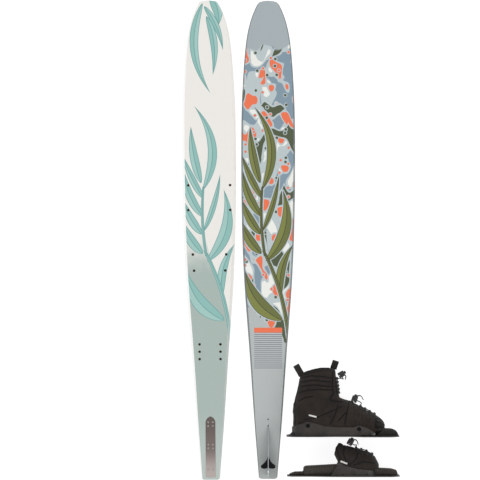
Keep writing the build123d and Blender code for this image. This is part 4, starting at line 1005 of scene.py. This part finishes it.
def make_upper():
    """The boot's padded upper, foot and cuff in one, open at the top and down the front."""
    piece = boot_skin("boot_upper", 0.6, UPPER_VOXEL, 5)

    def keep(x, y, z):
        return z < between(CUFF_TOP, x) and not in_front_slot(x, y, z, SLOT_HALF)

    lines = segments(CUFF_TOP) + segments(FOOT_SLOT) + [SLOT_HALF, -SLOT_HALF, upright(FOOT_SLOT_END)]
    tailor(piece, upper_move, lines, keep, WALL - 0.4)
    finish_piece(piece, boot, UPPER, ("boot_shell", "cuff"))
    return piece


def liner_move(x, y, z):
    """Soft unevenness, with a full rim that stands out over the cuff's."""
    out = 0.5 * fabric_noise(x, y, z, 22, 11)
    lip = between(CUFF_TOP, x) + 4
    if z > lip - 10:
        out += 1.6 * math.exp(-(((z - lip) / 4.5) ** 2))
    return out, 0.0


def make_liner():
    piece = boot_skin("boot_liner_sock", WALL + 0.5, LINER_VOXEL, 4)
    top = [(x, z + LINER_RISE) for x, z in CUFF_TOP]
    half = TONGUE_HALF + 0.4

    def keep(x, y, z):
        return z < between(top, x) and not in_front_slot(x, y, z + LINER_SLOT_DROP, half)

    tailor(piece, liner_move, segments(top) + [half, -half], keep, LINER_WALL - 1.0)
    finish_piece(piece, boot, LINER, ("boot_liner", "cuff_liner"))
    return piece


def tongue_crown(y):
    return math.cos(math.pi * y / (2.2 * TONGUE_HALF))


def tongue_move(x, y, z):
    """Padded tongue: crowned up to the laces and drawn in along quilt lines."""
    run, height = (z, 1.3) if z > ANKLE_HEIGHT else (x, 3.2)
    quilt = abs(math.sin(math.pi * run / 21))
    crown = tongue_crown(y)
    out = 1.0 + height * crown**2 + 0.9 * (quilt - 1) * crown
    crease_shade_and_dark_toe = math.exp(-((quilt / 0.2) ** 2))
    return out, 0.6 * crease_shade_and_dark_toe


def make_tongue():
    piece = boot_skin("boot_tongue_pad", WALL + 0.7, TONGUE_VOXEL, 4)
    half, front = TONGUE_HALF - 0.4, TONGUE_LOW[-1][0]

    def keep(x, y, z):
        return abs(y) < half and TONGUE_BACK < x < front and between(TONGUE_LOW, x) < z < TONGUE_TOP

    lines = segments(TONGUE_LOW) + [half, -half, level(TONGUE_TOP), upright(TONGUE_BACK)]
    tailor(piece, tongue_move, lines, keep, LINER_WALL - 1.2)
    finish_piece(piece, boot, TONGUE, ("boot_tongue", "cuff_tongue"))
    return piece


# -------------------- toe plate's hood
HOOD_CREASES = [
    ([(170, 100), (176, 74), (184, 52)], 1.6, 3.0),
    ([(196, 112), (193, 78), (200, 58), (214, 40)], 2.0, 2.6),
    ([(214, 40), (236, 62), (246, 90)], 1.2, 2.6),
    ([(228, 40), (262, 52), (300, 46)], 1.0, 3.0),
]
HOOD_RIB_FIRST, HOOD_RIB_LAST, HOOD_RIB_PITCH = 204.0, 296.0, 13.0


def hood_skin(name, inset, voxel, smoothing):
    piece = new_piece(name, arched_body(HOOD, HOOD_ENDS, HOOD_ROUNDS, inset))
    remesh(piece, voxel, smoothing)
    return piece


def hood_move(x, y, z):
    """Hood of soft neoprene: padded mouth, a few folds and upright ribs, with painted shade in the folds
    and rib grooves.
    """
    out = 0.8 * fabric_noise(x, y, z, 24, 21) + 0.4 * fabric_noise(x, y, z, 9, 4) - 0.9
    out, crease_shade_and_dark_toe = crease(HOOD_CREASES, 0.4, x, z, out)
    if HOOD_RIB_FIRST < x < HOOD_RIB_LAST:
        rib = abs(math.sin(math.pi * (x + 0.12 * z) / HOOD_RIB_PITCH))
        share = min(1.0, (x - HOOD_RIB_FIRST) / 10, (HOOD_RIB_LAST - x) / 10, max(0.0, (z - 34) / 10))
        out += share * 0.8 * (rib - 1)
        crease_shade_and_dark_toe = max(crease_shade_and_dark_toe, 0.6 * share * math.exp(-((rib / 0.25) ** 2)))
    mouth = to_line(x, z, HOOD_MOUTH)
    out += 2.0 * math.exp(-(((mouth - 6) / 5) ** 2))
    return out, crease_shade_and_dark_toe


def make_hood():
    """The toe plate's padded hood, open at the mouth, the lace slot and the bottom."""
    piece = hood_skin("hood_upper", 0.6, UPPER_VOXEL, 5)
    mouth = [(z, x) for x, z in HOOD_MOUTH]
    slot_start = HOOD_SLOT[0][0]

    def keep(x, y, z):
        in_slot = abs(y) < SLOT_HALF and slot_start < x < HOOD_SLOT_END and z > between(HOOD_SLOT, x)
        return z > HOOD_BOTTOM and x > between(mouth, z) and not in_slot

    lines = segments(HOOD_MOUTH) + segments(HOOD_SLOT)
    lines += [level(HOOD_BOTTOM), SLOT_HALF, -SLOT_HALF, upright(slot_start), upright(HOOD_SLOT_END)]
    tailor(piece, hood_move, lines, keep, HOOD_WALL - 0.8)
    finish_piece(piece, toe, HOOD_CLOTH, ("toe_hood",))
    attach(piece, "toe_plate_binding")


def hood_tongue_move(x, y, z):
    """The hood's laces stand further off, so its tongue is crowned higher."""
    out, crease_shade_and_dark_toe = tongue_move(x, y, z)
    return out + 1.8 * tongue_crown(y) ** 2, crease_shade_and_dark_toe


def make_hood_tongue():
    piece = hood_skin("hood_tongue_pad", HOOD_WALL + 0.5, TONGUE_VOXEL, 4)
    half = TONGUE_HALF - 0.5
    back, front = HOOD_TONGUE_LOW[0][0], HOOD_TONGUE_LOW[-1][0]

    def keep(x, y, z):
        return abs(y) < half and back < x < front and z > between(HOOD_TONGUE_LOW, x)

    lines = segments(HOOD_TONGUE_LOW) + [half, -half, upright(back), upright(front)]
    tailor(piece, hood_tongue_move, lines, keep, HOOD_WALL - 1.8)
    finish_piece(piece, toe, TONGUE, ("toe_tongue",))
    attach(piece, "toe_plate_binding")


# -------------------- foam pads and webbing
# in metres and frames
PAD_VOXEL, PAD_PRESSURE, PAD_CAP, PAD_FRAMES = 0.0028, 3.0, 0.0012, 15


def puff(piece):
    """Fills a pad by cloth simulation, no vertex further out than PAD_CAP metres."""
    remesh(piece, PAD_VOXEL, 2)
    rest = [vertex.co.copy() for vertex in piece.data.vertices]
    cloth = piece.modifiers.new("fill", "CLOTH")
    cloth.settings.use_pressure = True
    cloth.settings.uniform_pressure_force = PAD_PRESSURE
    cloth.settings.effector_weights.gravity = 0
    cloth.settings.quality = 5
    for step in range(1, PAD_FRAMES + 1):
        bpy.context.scene.frame_set(step)
    apply_modifiers(piece)
    bpy.context.scene.frame_set(1)
    for vertex, start in zip(piece.data.vertices, rest):
        moved = vertex.co - start
        if moved.length > PAD_CAP:
            vertex.co = start + moved * (PAD_CAP / moved.length)


def foam_pad(name, node, body, foam_made):
    """Foam pad made from its CAD solid, filled and rounded."""
    piece = bpy.data.objects.new(name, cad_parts[node].data.copy())
    bpy.context.scene.collection.objects.link(piece)
    made = bmesh.new()
    made.from_mesh(piece.data)
    bmesh.ops.remove_doubles(made, verts=made.verts, dist=1e-6)
    made.to_mesh(piece.data)
    made.free()
    puff(piece)
    cover(piece, foam_made)
    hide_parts(node)
    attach(piece, body)


PULL_WIDTH, PULL_THICK = 22.0, 2.6


def webbing_loop(name, node, foot, lean, half, reach, low):
    """Folded strap: two legs and an arch between them, with thin edges and ribs along the weave."""
    x0, z0 = foot
    turn = math.radians(lean)
    centre = half - PULL_THICK / 2 - 0.2
    path = [(-centre, z) for z in (-low, reach / 2)]
    arch = [math.pi * i / 14 for i in range(15)]
    path += [(-centre * math.cos(angle), reach + centre * math.sin(angle)) for angle in arch]
    path += [(centre, z) for z in (reach / 2, -low)]
    columns = 12
    rings = []
    for i, (y, z) in enumerate(path):
        before, after = path[max(i - 1, 0)], path[min(i + 1, len(path) - 1)]
        run = math.hypot(after[0] - before[0], after[1] - before[1])
        ny, nz = (after[1] - before[1]) / run, (before[0] - after[0]) / run
        ring = []
        for side in (1, -1):
            for j in range(columns + 1):
                across = side * (1 - 2 * j / columns)
                thick = PULL_THICK / 2 * (1 - 0.35 * abs(across) ** 6 - 0.12 * (j % 2))
                forward, up = across * PULL_WIDTH / 2, z + side * nz * thick
                ring.append((x0 + forward * math.cos(turn) + up * math.sin(turn),
                             y + side * ny * thick,
                             z0 - forward * math.sin(turn) + up * math.cos(turn)))
        rings.append(ring)
    piece = new_piece(name, loft(rings))
    finish_piece(piece, boot, WEBBING, (node,))
    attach(piece, "boot_cuff")


for soft in (make_upper(), make_liner(), make_tongue()):
    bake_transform(soft)
make_hood()
make_hood_tongue()
foam_pad("footbed_pad", "toe_pad", "toe_plate_binding", FOOTBED_FOAM)
foam_pad("toe_landing_pad", "boot_toe_pad", "boot", PAD_FOAM)
webbing_loop("heel_pull_strap", "heel_pull", (51, 212), -30, 14.0, 24.0, 4.0)
webbing_loop("tongue_pull_strap", "tongue_pull", (163, 238), 18, 11.0, 12.0, 7.0)

make_studio()
